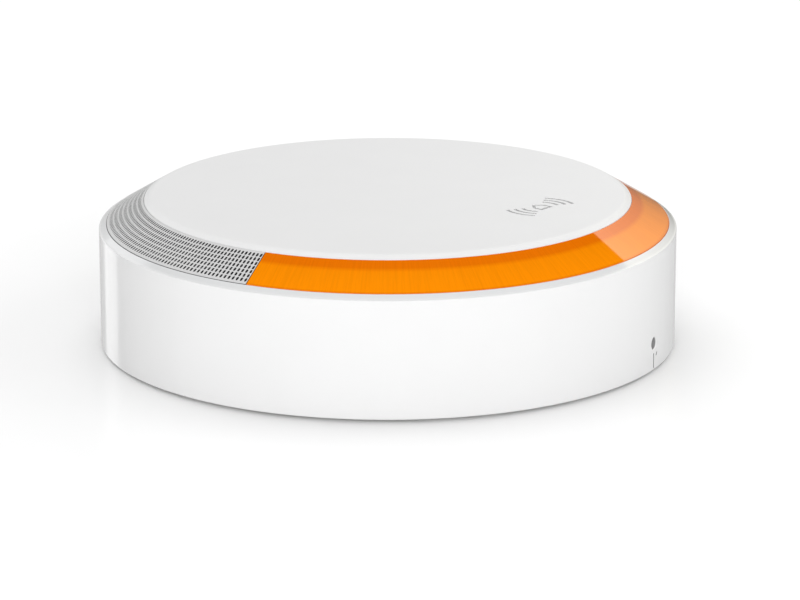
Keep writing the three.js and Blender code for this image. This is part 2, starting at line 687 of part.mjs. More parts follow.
const LEAD_R = 0.6;
const leadTop = BOARD.low - GAP;

function lead(name, points) {
  add(name, wire(points, LEAD_R, 14, 6), wireGrey);
}

lead('sounder_lead', [[-26.6, 50, 22], [-30, 42, 24], [-31, 30, 32], [-31, 26, 40], [-31, 26, 44],
  [-31, 24.5, 47], [-31, 16, BOARD.high + 1.2]]);
lead('battery_lead', [[-67.3, 0, 24], [-70, 0, 28], [-71, 0, 34], [-71, 0, 40], [-71, 0, leadTop]]);
lead('switch_lead', [[-34, -65, SWITCH_BOARD.high + 1.3], [-37, -65.7, 18], [-38, -66, 24],
  [-38, -66, 34], [-38, -66, leadTop]]);

export default group;
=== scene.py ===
"""A smart home siren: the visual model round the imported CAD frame, its studio and its camera.

Lengths are in metres. The origin is the centre of the wall plate's back face, +Z points out of the
wall, and -Y is the bottom of the object as it hangs.
"""
import json
import math

import bmesh
import bpy
from mathutils import Matrix, Vector


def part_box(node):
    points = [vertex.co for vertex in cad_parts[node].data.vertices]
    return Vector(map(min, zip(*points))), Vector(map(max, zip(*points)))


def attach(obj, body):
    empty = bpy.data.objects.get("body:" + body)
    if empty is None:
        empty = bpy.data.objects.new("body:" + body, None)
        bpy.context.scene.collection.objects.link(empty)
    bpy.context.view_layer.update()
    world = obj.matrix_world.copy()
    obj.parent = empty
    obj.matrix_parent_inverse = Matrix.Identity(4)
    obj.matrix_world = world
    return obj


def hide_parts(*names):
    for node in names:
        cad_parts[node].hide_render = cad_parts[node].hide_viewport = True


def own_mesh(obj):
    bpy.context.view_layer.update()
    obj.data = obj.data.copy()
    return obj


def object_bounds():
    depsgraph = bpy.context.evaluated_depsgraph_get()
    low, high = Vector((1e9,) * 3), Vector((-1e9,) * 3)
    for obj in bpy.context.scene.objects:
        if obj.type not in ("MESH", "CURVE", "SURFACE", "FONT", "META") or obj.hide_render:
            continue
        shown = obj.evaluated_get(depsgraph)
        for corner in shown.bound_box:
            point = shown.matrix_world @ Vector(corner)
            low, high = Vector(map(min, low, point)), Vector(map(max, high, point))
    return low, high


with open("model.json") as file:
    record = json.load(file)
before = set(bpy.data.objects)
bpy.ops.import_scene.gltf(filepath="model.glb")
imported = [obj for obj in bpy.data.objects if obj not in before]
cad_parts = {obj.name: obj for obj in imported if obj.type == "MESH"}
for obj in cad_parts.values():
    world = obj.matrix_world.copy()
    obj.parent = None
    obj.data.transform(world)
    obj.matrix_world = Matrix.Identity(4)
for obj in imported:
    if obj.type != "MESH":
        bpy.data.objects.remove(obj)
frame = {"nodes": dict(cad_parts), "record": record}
CAD_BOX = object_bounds()

MM = 0.001
TAU = 2 * math.pi

# ---------------- driving dimensions

GAP = 0.3 * MM  # between neighbouring shells
RING_STEPS = 360  # around the large shells
ROUND_STEPS = 64  # around small round pieces
SUPPORT = 0.03 * MM  # from a fillet to the extra point beside it
BOTTOM = -90.0  # directions in degrees about +Z
TOP = 90.0

HOUSING_LOW, HOUSING_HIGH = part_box("housing")
COVER_LOW, COVER_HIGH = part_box("front_cover")
LENS_LOW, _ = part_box("lens")
SCREW_LOW, SCREW_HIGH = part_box("lock_screw")
PLATE_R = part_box("mounting_plate")[1].x
BACK_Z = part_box("rear_shell")[0].z  # the head's flat back

OUTER_R = HOUSING_HIGH.x
SKIRT_WALL = 2.4 * MM
INNER_R = OUTER_R - SKIRT_WALL
SHOULDER = (OUTER_R - 0.57 * MM, HOUSING_HIGH.z - 1.54 * MM)  # where the skirt turns in to the lip
BAND_OUTER = (-LENS_LOW.y + GAP, HOUSING_HIGH.z)  # the sloping band's outer edge
BAND_INNER = (COVER_HIGH.x, COVER_HIGH.z - 1.28 * MM)
FACE_R = COVER_HIGH.x - 2.13 * MM
SEAM = 0.08 * MM  # the gap that shows beside the band
BAND_SLOPE = (BAND_INNER[1] - BAND_OUTER[1]) / (BAND_OUTER[0] - BAND_INNER[0])
LENS_HALF_ANGLE = 92.7  # degrees either side of BOTTOM
LOCK_Z = (SCREW_LOW.z + SCREW_HIGH.z) / 2
LOCK_TURN = 15.0  # degrees from the unlocked head to the locked one
PLUNGER_Y = -66 * MM
LOCK_HOLE_R = 2.05 * MM
LOCK_RIM = 0.25 * MM  # width and depth of the chamfer round the hole
MARK_LINE_TOP = 6.8 * MM  # the cut line below the lock hole ends here


def band_z(radius):
    """The height of the sloping band's face."""
    return BAND_OUTER[1] + (BAND_OUTER[0] - radius) * BAND_SLOPE


# ---------------- mesh helpers


def linked(name, data):
    """A new object in the scene."""
    made = bpy.data.objects.new(name, data)
    bpy.context.scene.collection.objects.link(made)
    return made


def place(name, mesh, body, slot, replaces, material=None):
    """A piece that rides on a body and stands for CAD nodes, in its slot's material or its own."""
    piece = linked(name, mesh)
    mesh.name = name
    mesh.materials.clear()
    mesh.materials.append(material or MATERIALS[slot])
    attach(piece, body)
    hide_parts(*replaces)
    return piece


def shade(mesh, sharp=32):
    """Smooth shading that stays crisp at edges sharper than an angle in degrees."""
    mesh.shade_smooth()
    mesh.set_sharp_from_angle(angle=math.radians(sharp))
    return mesh


def rounded(corners, closed=True, steps=5):
    """An outline of (r, z, fillet) corners with each corner rounded to its own radius."""
    outline = []
    count = len(corners)
    for i, (r, z, fillet) in enumerate(corners):
        corner = Vector((r, z))
        if fillet == 0 or (not closed and i in (0, count - 1)):
            outline.append((r, z))
            continue
        before = Vector(corners[i - 1][:2]) - corner
        after = Vector(corners[(i + 1) % count][:2]) - corner
        half = before.angle(after) / 2
        reach = min(fillet / math.tan(half), 0.4 * before.length, 0.4 * after.length)
        radius = reach * math.tan(half)
        middle = (before.normalized() + after.normalized()).normalized()
        centre = corner + middle * (radius / math.sin(half))
        start = corner + before.normalized() * reach - centre
        sweep = start.angle_signed(corner + after.normalized() * reach - centre)
        # A point just outside each end of the fillet keeps the flats beside it flat when shaded.
        outline.append(tuple(corner + before.normalized() * (reach + SUPPORT)))
        for k in range(steps + 1):
            turn = Matrix.Rotation(-sweep * k / steps, 2)
            outline.append(tuple(centre + turn @ start))
        outline.append(tuple(corner + after.normalized() * (reach + SUPPORT)))
    return outline


def split_long(outline, longest):
    """The same closed outline with extra points, so that no stretch is longer than a length."""
    finer = []
    for (r0, z0), (r1, z1) in zip(outline, outline[1:] + outline[:1]):
        parts = max(1, math.ceil(math.hypot(r1 - r0, z1 - z0) / longest))
        finer += [(r0 + (r1 - r0) * k / parts, z0 + (z1 - z0) * k / parts) for k in range(parts)]
    return finer


def mesh_from(verts, faces, merge=1e-7, fill=False):
    """A closed mesh: points closer than merge become one and, where asked, open ends are filled."""
    mesh = bpy.data.meshes.new("mesh")
    mesh.from_pydata(verts, [], faces)
    built = bmesh.new()
    built.from_mesh(mesh)
    bmesh.ops.remove_doubles(built, verts=built.verts, dist=merge)
    if fill:
        open_edges = [edge for edge in built.edges if edge.is_boundary]
        bmesh.ops.holes_fill(built, edges=open_edges, sides=0)
    bmesh.ops.recalc_face_normals(built, faces=built.faces)
    built.to_mesh(mesh)
    built.free()
    return mesh


def mesh_of(built):
    """A mesh from a bmesh, which is then freed."""
    mesh = bpy.data.meshes.new("mesh")
    built.to_mesh(mesh)
    built.free()
    return mesh


def revolved(outline, steps=RING_STEPS, closed=True, centre=0.0, half_width=180.0, shape=None):
    """A profile of (r, z) points turned about Z, all round or over a sector with flat ends.

    shape(r, z, degrees) may move the profile's points at each direction.
    """
    whole = half_width >= 180
    columns = steps if whole else steps + 1
    verts = []
    for j in range(columns):
        degrees = centre - half_width + 2 * half_width * j / steps
        c, s = math.cos(math.radians(degrees)), math.sin(math.radians(degrees))
        for r, z in outline:
            if shape:
                r, z = shape(r, z, degrees)
            verts.append((r * c, r * s, z))
    n = len(outline)
    faces = []
    for j in range(steps):
        a, b = j * n, ((j + 1) % columns) * n
        for k in range(n if closed else n - 1):
            m = (k + 1) % n
            faces.append((a + k, b + k, b + m, a + m))
    if not whole:
        faces.append(tuple(range(n)))
        faces.append(tuple(reversed(range(steps * n, steps * n + n))))
    return mesh_from(verts, faces)


def turned(corners, steps=ROUND_STEPS, spot=(0, 0, 0)):
    """A small solid of revolution with rounded corners, about a line along Z."""
    mesh = revolved(rounded(corners, closed=False, steps=3), steps, closed=False)
    mesh.transform(Matrix.Translation(spot))
    return mesh


def box_mesh(low, high):
    built = bmesh.new()
    bmesh.ops.create_cube(built, size=1)
    for vertex in built.verts:
        vertex.co = Vector(low[k] if vertex.co[k] < 0 else high[k] for k in range(3))
    return mesh_of(built)


def sector_mesh(inner, outer, low, high, centre, half_width, steps=24):
    """A curved block between two radii and two heights, over a sector."""
    outline = [(inner, low), (outer, low), (outer, high), (inner, high)]
    return revolved(outline, steps, centre=centre, half_width=half_width)


def extruded(outline, low, high):
    """A flat outline of (x, y) points between two heights."""
    n = len(outline)
    verts = [(x, y, low) for x, y in outline] + [(x, y, high) for x, y in outline]
    faces = [tuple(reversed(range(n))), tuple(range(n, 2 * n))]
    faces += [(i, (i + 1) % n, n + (i + 1) % n, n + i) for i in range(n)]
    return mesh_from(verts, faces)


def combined(base, others, operation):
    """base with each other mesh cut out of it or joined to it, one after another."""
    body = linked("work", base)
    for other in others:
        tool = linked("tool", other)
        step = body.modifiers.new("step", "BOOLEAN")
        step.operation = operation
        step.solver = "EXACT"
        step.object = tool
        bpy.context.view_layer.update()
        graph = bpy.context.evaluated_depsgraph_get()
        result = bpy.data.meshes.new_from_object(body.evaluated_get(graph))
        body.modifiers.clear()
        body.data = result
        bpy.data.objects.remove(tool)
    result = body.data
    bpy.data.objects.remove(body)
    return result


def cut(base, *tools):
    return combined(base, tools, "DIFFERENCE")


def joined_solid(base, *others):
    return combined(base, others, "UNION")


def softened(mesh, width):
    """The mesh with its sharp edges bevelled."""
    body = linked("work", mesh)
    bevel = body.modifiers.new("bevel", "BEVEL")
    bevel.width = width
    bevel.segments = 2
    bevel.limit_method = "ANGLE"
    bevel.angle_limit = math.radians(35)
    bevel.harden_normals = False
    graph = bpy.context.evaluated_depsgraph_get()
    result = bpy.data.meshes.new_from_object(body.evaluated_get(graph))
    bpy.data.objects.remove(body)
    return result


def around(mesh, degrees):
    mesh.transform(Matrix.Rotation(math.radians(degrees), 4, "Z"))
    return mesh


# ---------------- material helpers


class Nodes:
    """A material's node tree with short calls for what is used here."""

    def __init__(self, name):
        self.material = bpy.data.materials.new(name)
        self.material.use_nodes = True
        self.tree = self.material.node_tree
        self.shader = self.tree.nodes["Principled BSDF"]
        coordinates = self.tree.nodes.new("ShaderNodeTexCoord")
        self.position = coordinates.outputs["Object"]

    def new(self, kind, **values):
        node = self.tree.nodes.new(kind)
        for key, value in values.items():
            setattr(node, key, value)
        return node

    def link(self, source, target):
        self.tree.links.new(source, target)

    def set(self, **values):
        for key, value in values.items():
            self.shader.inputs[key.replace("_", " ")].default_value = value

    def coordinates(self):
        """A point's x, y and z as three sockets."""
        split = self.new("ShaderNodeSeparateXYZ")
        self.link(self.position, split.inputs[0])
        return tuple(split.outputs)

    def ranged(self, value, start, end, low=0.0, high=1.0):
        """How far a value is from start to end, as a number from low to high."""
        node = self.new("ShaderNodeMapRange")
        numbers = {"From Min": start, "From Max": end, "To Min": low, "To Max": high}
        for key, number in numbers.items():
            node.inputs[key].default_value = number
        self.link(value, node.inputs["Value"])
        return node.outputs[0]

    def noise(self, scale, detail=3.0, roughness=0.5, vector=None):
        node = self.new("ShaderNodeTexNoise")
        node.inputs["Scale"].default_value = scale
        node.inputs["Detail"].default_value = detail
        node.inputs["Roughness"].default_value = roughness
        self.link(vector or self.position, node.inputs["Vector"])
        return node.outputs["Fac"]

    def math(self, operation, a, b=None):
        node = self.new("ShaderNodeMath", operation=operation)
        for socket, value in zip(node.inputs, (a, b)):
            if value is None:
                continue
            if isinstance(value, (int, float)):
                socket.default_value = value
            else:
                self.link(value, socket)
        return node.outputs[0]

    def stretched(self, scale):
        node = self.new("ShaderNodeMapping")
        node.inputs["Scale"].default_value = scale
        self.link(self.position, node.inputs["Vector"])
        return node.outputs["Vector"]

    def ramp(self, factor, stops):
        node = self.new("ShaderNodeValToRGB")
        ramp = node.color_ramp
        while len(ramp.elements) < len(stops):
            ramp.elements.new(0.5)
        for element, (at, color) in zip(ramp.elements, stops):
            element.position = at
            element.color = (*color, 1)
        self.link(factor, node.inputs["Fac"])
        return node.outputs["Color"]

    def mixed(self, factor, a, b, blend="MIX"):
        node = self.new("ShaderNodeMix", data_type="RGBA", blend_type=blend)
        sockets = (node.inputs["Factor"], node.inputs[6], node.inputs[7])
        for socket, value in zip(sockets, (factor, a, b)):
            if isinstance(value, (int, float)):
                socket.default_value = value
            elif isinstance(value, tuple):
                socket.default_value = (*value, 1)
            else:
                self.link(value, socket)
        return node.outputs[2]

    def color(self, socket):
        self.link(socket, self.shader.inputs["Base Color"])

    def rough(self, factor, low, high):
        self.link(self.ranged(factor, 0.0, 1.0, low, high), self.shader.inputs["Roughness"])

    def bump(self, height, distance, strength=1.0):
        node = self.new("ShaderNodeBump")
        node.inputs["Distance"].default_value = distance
        node.inputs["Strength"].default_value = strength
        self.link(height, node.inputs["Height"])
        self.link(node.outputs[0], self.shader.inputs["Normal"])


def tinted(color, by):
    return tuple(max(0.0, min(1.0, c * by)) for c in color)


def grey(level):
    return (level, level, level)


def plastic(name, color, rough, grain=1500.0, depth=0.02 * MM, spread=0.03, coat=0.0):
    """Moulded plastic: a slight mottle in colour and gloss and the mould's fine texture."""
    n = Nodes(name)
    mottle = n.noise(45.0, detail=4.0)
    dark, light = tinted(color, 1 - spread), tinted(color, 1 + spread / 2)
    n.color(n.ramp(mottle, [(0.3, dark), (0.7, light)]))
    n.rough(n.noise(120.0), rough * 0.9, rough * 1.1)
    n.set(Coat_Weight=coat, Coat_Roughness=0.06)
    n.bump(n.noise(grain, detail=2.0), depth)
    return n.material


def metal(name, color, rough):
    """Metal with fine drawn or turned lines."""
    n = Nodes(name)
    lines = n.noise(1.0, detail=5.0, vector=n.stretched((60, 60, 1500)))
    n.color(n.ramp(lines, [(0.25, tinted(color, 0.82)), (0.75, color)]))
    n.rough(lines, rough * 0.75, rough * 1.3)
    n.set(Metallic=1.0)
    n.bump(lines, 0.03 * MM, 0.5)
    return n.material


def foam(name, color):
    """Closed-cell foam rubber."""
    n = Nodes(name)
    cells = n.new("ShaderNodeTexVoronoi")
    cells.inputs["Scale"].default_value = 1400.0
    n.link(n.position, cells.inputs["Vector"])
    height = cells.outputs["Distance"]
    n.color(n.ramp(height, [(0.0, tinted(color, 0.5)), (0.6, tinted(color, 1.4))]))
    n.rough(n.noise(300.0), 0.8, 0.95)
    n.bump(height, 0.25 * MM, 0.8)
    return n.material


def polar(n):
    """(radius, direction in degrees) of a point about the Z axis, as node sockets."""
    x, y, _ = n.coordinates()
    squares = n.math("ADD", n.math("MULTIPLY", x, x), n.math("MULTIPLY", y, y))
    degrees = n.math("MULTIPLY", n.math("ARCTAN2", y, x), 360 / TAU)
    return n.math("SQRT", squares), degrees


def amber_plastic():
    """Orange lens: glossy outside, with radial ribs inside that show through as fine lines. The
    inner quarter of the band is painted darker as painted shade, and the lens has a painted glow.
    """
    n = Nodes("amber_lens")
    radius, degrees = polar(n)
    across = n.ranged(radius, BAND_INNER[0], BAND_OUTER[0])
    # The darker orange across the inner quarter of the band is painted shade.
    main, shaded_orange, edge = (0.93, 0.262, 0.0012), (0.80, 0.170, 0.0008), (0.84, 0.2, 0.001)
    base = n.ramp(across, [
        (0.0, shaded_orange), (0.25, shaded_orange), (0.36, main), (0.93, tinted(main, 1.06)), (1.0, edge),
    ])
    along_ribs = n.new("ShaderNodeCombineXYZ")
    n.link(n.math("MULTIPLY", degrees, 2.4), along_ribs.inputs[0])
    n.link(n.math("MULTIPLY", radius, 60.0), along_ribs.inputs[1])
    lines = n.noise(1.0, roughness=0.7, vector=along_ribs.outputs[0])
    streaks = n.ramp(lines, [(0.3, (0.80, 0.74, 0.7)), (0.6, grey(1.0))])
    shaded = n.mixed(0.4, base, streaks, "MULTIPLY")
    n.color(n.mixed(1.0, shaded, grey(0.75), "MULTIPLY"))
    # Painted glow: the lens gives off its own colours as light, standing in for light that has
    # travelled through the plastic, and this evens the lens out round its bend.
    n.link(shaded, n.shader.inputs["Emission Color"])
    n.set(Emission_Strength=0.26)
    n.rough(lines, 0.32, 0.4)
    n.set(Specular_IOR_Level=0.0, Coat_Weight=1.0, Coat_Roughness=0.04, Coat_IOR=1.5)
    return n.material


def cover_plastic():
    """Satin white plastic; the floor of the sunk mark is painted a little greyer as painted shade.
    """
    n = Nodes("cover_white")
    radius, _ = polar(n)
    _, _, z = n.coordinates()
    # Below the face, near the middle where the mark is sunk, the colour is painted grey as painted
    # shade.
    sunk = n.math("LESS_THAN", z, COVER_HIGH.z - 0.1 * MM)
    central = n.math("LESS_THAN", radius, FACE_R - 5 * MM)
    face = n.ramp(n.noise(45.0, detail=4.0), [(0.3, grey(0.795)), (0.7, grey(0.805))])
    n.color(n.mixed(n.math("MULTIPLY", sunk, central), face, grey(0.6)))
    n.rough(n.noise(120.0), 0.38, 0.46)
    n.bump(n.noise(2600.0, detail=2.0), 0.02 * MM)
    return n.material


def lock_mark_shade_mask(n, above_line):
    """1 in the lock hole and in the cut marks below it, 0 on the rest of the housing: where the
    painted shade goes.
    """
    radius, _ = polar(n)
    x, y, z = n.coordinates()
    rim = n.math("MULTIPLY", above_line, LOCK_RIM)
    inside = n.math("LESS_THAN", n.math("ADD", radius, rim), OUTER_R - 0.05 * MM)
    tests = (
        n.math("GREATER_THAN", radius, INNER_R + 0.1 * MM),
        n.math("LESS_THAN", n.math("ABSOLUTE", x), 5 * MM),
        n.math("LESS_THAN", y, 0.0),
        n.math("LESS_THAN", z, LOCK_Z + 4 * MM),
        n.math("GREATER_THAN", z, HOUSING_LOW.z + 0.5 * MM),
    )
    for test in tests:
        inside = n.math("MULTIPLY", inside, test)
    return inside


def housing_plastic():
    """Glossy white plastic with painted shade: greyer on the lip round the band and dark inside the
    lock marks.
    """
    n = Nodes("housing_white")
    _, _, z = n.coordinates()
    # The lip round the band is painted greyer as painted shade.
    lip = n.ranged(z, SHOULDER[1] - 0.5 * MM, SHOULDER[1] + 0.3 * MM)
    wall = n.ramp(n.noise(45.0), [(0.3, grey(0.875)), (0.7, grey(0.885))])
    body = n.mixed(lip, wall, (0.73, 0.735, 0.74))
    # Inside the lock hole and cut marks the colour is painted dark as painted shade: mid grey in
    # the hole, near-black in the line and tick below it.
    above_line = n.math("GREATER_THAN", z, MARK_LINE_TOP + 0.3 * MM)
    dark = n.mixed(above_line, grey(0.16), grey(0.4))
    n.color(n.mixed(lock_mark_shade_mask(n, above_line), body, dark))
    n.rough(n.noise(120.0), 0.14, 0.18)
    n.set(Coat_Weight=0.5, Coat_Roughness=0.06)
    n.bump(n.noise(500.0), 0.004 * MM)
    return n.material


def grille_plastic():
    """Light grey plastic with painted shade: dark in its holes and on its underside."""
    n = Nodes("grille_grey")
    radius, _ = polar(n)
    _, _, z = n.coordinates()
    surface = n.math("SUBTRACT", band_z(0), n.math("MULTIPLY", radius, BAND_SLOPE))
    # More than a tenth of a millimetre below the band's face the colour is painted near-black as
    # painted shade.
    inside = n.ranged(n.math("SUBTRACT", surface, z), 0.05 * MM, 0.12 * MM)
    mottle = n.noise(45.0)
    light = n.ramp(mottle, [(0.3, grey(0.62)), (0.7, grey(0.65))])
    n.color(n.mixed(inside, light, (0.06, 0.06, 0.062)))
    n.rough(mottle, 0.4, 0.46)
    n.bump(n.noise(2600.0), 0.02 * MM)
    return n.material


def board_green():
    """Green solder mask over copper tracks."""
    n = Nodes("board_green")
    tracks = n.new("ShaderNodeTexBrick")
    tracks.inputs["Scale"].default_value = 90.0
    tracks.inputs["Mortar Size"].default_value = 0.03
    tracks.inputs["Color1"].default_value = (0.012, 0.10, 0.045, 1)
    tracks.inputs["Color2"].default_value = (0.016, 0.13, 0.055, 1)
    tracks.inputs["Mortar"].default_value = (0.04, 0.22, 0.09, 1)
    n.link(n.position, tracks.inputs["Vector"])
    cloud = n.math("MULTIPLY", n.noise(60.0), 0.3)
    n.color(n.mixed(cloud, tracks.outputs["Color"], (0.01, 0.08, 0.03)))
    n.rough(n.noise(200.0), 0.3, 0.45)
    n.bump(tracks.outputs["Fac"], 0.03 * MM, 0.6)
    return n.material


def cell_jacket():
    """A cell's jacket: a dark band and a coppery one, along the cell's own axis."""
    n = Nodes("cell_jacket")
    x, _, _ = n.coordinates()
    band = n.math("GREATER_THAN", n.math("ABSOLUTE", x), 45 * MM)
    color = n.mixed(band, (0.05, 0.065, 0.08), (0.55, 0.33, 0.12))
    n.color(n.mixed(n.math("MULTIPLY", n.noise(90.0), 0.25), color, grey(0.02)))
    n.rough(n.noise(150.0), 0.25, 0.35)
    n.set(Metallic=0.5)
    n.bump(n.noise(900.0), 0.02 * MM)
    return n.material


def woven_mesh():
    """Fine black acoustic cloth."""
    n = Nodes("acoustic_mesh")
    waves = []
    for axis in ("X", "Y"):
        wave = n.new("ShaderNodeTexWave", wave_type="BANDS", bands_direction=axis)
        wave.inputs["Scale"].default_value = 900.0
        n.link(n.position, wave.inputs["Vector"])
        waves.append(wave.outputs["Fac"])
    weave = n.math("MAXIMUM", *waves)
    n.color(n.ramp(weave, [(0.2, (0.012, 0.012, 0.013)), (0.9, (0.05, 0.05, 0.052))]))
    n.rough(n.noise(200.0), 0.8, 0.95)
    n.bump(weave, 0.1 * MM)
    return n.material


HOUSING_WHITE = housing_plastic()
COVER_WHITE = cover_plastic()
# A darker copy of the steel, as painted shade, for the lock screw that sits deep in its hole.
SHADED_STEEL = metal("shaded_steel", (0.45, 0.45, 0.455), 0.35)

MATERIALS = {  # by the record's slots
    "white_gloss": plastic("white_gloss", grey(0.88), 0.16, 500.0, 0.004 * MM, 0.006, coat=0.5),
    "white_satin": plastic("white_satin", grey(0.80), 0.42, grain=2600.0, spread=0.008),
    "white_moulding": plastic("white_moulding", (0.74, 0.74, 0.72), 0.5, 2000.0, 0.03 * MM),
    "reflector_white": plastic("reflector_white", (0.85, 0.85, 0.83), 0.25),
    "amber_lens": amber_plastic(),
    "grille_grey": grille_plastic(),
    "acoustic_mesh": woven_mesh(),
    "seal_rubber": foam("seal_rubber", (0.035, 0.036, 0.038)),
    "plunger_grey": plastic("plunger_grey", (0.09, 0.09, 0.095), 0.35),
    "chip_black": plastic("chip_black", (0.025, 0.025, 0.027), 0.45, grain=4000.0),
    "sounder_black": plastic("sounder_black", (0.03, 0.031, 0.034), 0.5),
    "lead_grey": plastic("lead_grey", (0.10, 0.10, 0.105), 0.5, grain=600.0),
    "led_yellow": plastic("led_yellow", (0.85, 0.62, 0.12), 0.2, grain=3000.0, coat=1.0),
    "steel": metal("steel", (0.56, 0.57, 0.58), 0.3),
    "brass": metal("brass", (0.72, 0.5, 0.22), 0.3),
    "board_green": board_green(),
    "cell_jacket": cell_jacket(),
}


def dress_cad_nodes():
    """The CAD nodes that stay get their slot's material."""
    for row in frame["record"]["subparts"]:
        node = frame["nodes"][row["node"]]
        node.data.materials.clear()
        node.data.materials.append(MATERIALS[row["material_slot"]])


# ---------------- the head's outer shells


LOCK_HOLE_DEPTH = 5 * MM
MARK_WIDTH = 0.6 * MM  # of the cut line and of the tick beside it
MARK_CUT = 0.5 * MM  # how deep both are
TICK_LENGTH = 1.5 * MM
TICK_Z = 6.1 * MM
TICK_TILT = 38.0
TICK_BESIDE = 1.45  # degrees round the skirt from the line


def lock_hole_tool():
    """The lock hole with its chamfer, along the radius at BOTTOM."""
    past = OUTER_R + 0.2 * MM
    inside, rim = OUTER_R - LOCK_HOLE_DEPTH, OUTER_R - LOCK_RIM
    profile = [
        (0, inside), (LOCK_HOLE_R, inside), (LOCK_HOLE_R, rim), (LOCK_HOLE_R + past - rim, past),
        (0, past),
    ]
    mesh = revolved(profile, ROUND_STEPS, closed=False)
    mesh.transform(Matrix.Rotation(math.pi / 2, 4, "X"))
    mesh.transform(Matrix.Translation((0, 0, LOCK_Z)))
    return mesh


def tick_tool():
    """The small slanting tick beside the top of the cut line."""
    half, up = MARK_WIDTH / 2, TICK_LENGTH / 2
    tick = box_mesh((-half, -MM, -up), (half, MARK_CUT, up))
    tick.transform(Matrix.Rotation(math.radians(TICK_TILT), 4, "Y"))
    tick.transform(Matrix.Translation((0, -OUTER_R, TICK_Z)))
    return around(tick, TICK_BESIDE)


def make_housing():
    """The skirt, its shoulder and the lip round the band, with the lock hole and its marks."""
    foot = HOUSING_LOW.z
    lip_foot = BAND_OUTER[1] - 1.9 * MM
    corners = [
        (INNER_R, foot, 0.25 * MM), (OUTER_R, foot, 0.4 * MM),
        (OUTER_R, SHOULDER[1] - 0.15 * MM, 0.7 * MM),
        (SHOULDER[0], SHOULDER[1] + 0.05 * MM, 0.5 * MM),
        (*BAND_OUTER, 0.15 * MM), (BAND_OUTER[0], lip_foot, 0.1 * MM),
        (INNER_R, lip_foot - 1.2 * MM, 0.3 * MM),
    ]
    wall = revolved(split_long(rounded(corners), 1.5 * MM))
    half = MARK_WIDTH / 2
    line = box_mesh((-half, -OUTER_R - MM, 0), (half, MARK_CUT - OUTER_R, MARK_LINE_TOP))
    wall = cut(wall, lock_hole_tool(), line, tick_tool())
    place("housing_shell", shade(wall), "head", "white_gloss", ["housing"], HOUSING_WHITE)


def make_cover():
    """The flat face with its bevelled rim and the skirt that it sits on."""
    under = COVER_HIGH.z - 2.45 * MM
    skirt_in, skirt_out = 80.5 * MM, 82.1 * MM
    corners = [
        (0, under, 0), (skirt_in, under, 0), (skirt_in, COVER_LOW.z, 0.3 * MM),
        (skirt_out, COVER_LOW.z, 0.3 * MM), (skirt_out, under, 0), (BAND_INNER[0], under, 0.2 * MM),
        (*BAND_INNER, 0.3 * MM), (FACE_R, COVER_HIGH.z, 3 * MM), (0, COVER_HIGH.z, 0),
    ]
    face = revolved(rounded(corners, closed=False), closed=False)
    face = cut(face, *mark_tools())
    place("cover_face", shade(face), "head", "white_satin", ["front_cover"], COVER_WHITE)


MARK_CENTRE = (4.6 * MM, -55.5 * MM)
MARK_TURN = -14.0
MARK_DEPTH = 0.6 * MM
MARK_STROKE = 1.2 * MM
ARC_RADII = (6.5 * MM, 9.3 * MM, 12.1 * MM)
ARC_HALF_SPAN = 30  # degrees
ARC_STEPS = 16


def stroke(points, width):
    """A band of constant width along an open line of (x, y) points, as one outline."""
    left, right = [], []
    for i, point in enumerate(points):
        here = Vector(point)
        before = Vector(points[max(i - 1, 0)])
        after = Vector(points[min(i + 1, len(points) - 1)])
        side = (after - before).normalized().orthogonal() * (width / 2)
        left.append(tuple(here + side))
        right.append(tuple(here - side))
    return left + right[::-1]


def house_tool():
    """The outline of a small house, as a solid to cut with."""
    top = COVER_HIGH.z
    half, base, eave, ridge = 3.2 * MM, -3.2 * MM, 0.6 * MM, 3.6 * MM
    within, floor, inner_eave = half - MARK_STROKE, base + MARK_STROKE, eave - 0.4 * MM
    house = [(-half, base), (half, base), (half, eave), (0, ridge), (-half, eave)]
    hollow = [
        (-within, floor), (within, floor), (within, inner_eave), (0, ridge - 1.35 * MM),
        (-within, inner_eave),
    ]
    return cut(extruded(house, top - MARK_DEPTH, top + MM),
               extruded(hollow, top - MM, top + 2 * MM))


def mark_tools():
    """A small plain mark: a house between sound arcs."""
    tools = [house_tool()]
    for radius in ARC_RADII:
        for side in (0, 180):
            turns = [math.radians(side - ARC_HALF_SPAN + 2 * ARC_HALF_SPAN * k / ARC_STEPS)
                     for k in range(ARC_STEPS + 1)]
            arc = stroke([(radius * math.cos(a), radius * math.sin(a)) for a in turns], MARK_STROKE)
            tools.append(extruded(arc, COVER_HIGH.z - MARK_DEPTH, COVER_HIGH.z + MM))
    spot = Matrix.Translation((*MARK_CENTRE, 0)) @ Matrix.Rotation(math.radians(MARK_TURN), 4, "Z")
    for tool in tools:
        tool.transform(spot)
    return tools


# ---------------- the band: lens and grille

BAND_WALL = 1.5 * MM  # of the skirts under the band
INNER_SKIRT_LOW = 46.8 * MM
BAND_FOOT = LENS_LOW.z
BAND_EDGE = (BAND_INNER[0] + SEAM, BAND_OUTER[0] - SEAM)
BAND_SPLIT = math.degrees(GAP / 2 / BAND_INNER[0])  # half the gap between lens and grille
LENS_WALL = 2.5 * MM
RIB_PITCH = 0.6  # degrees
RIB_HEIGHT = 0.22 * MM


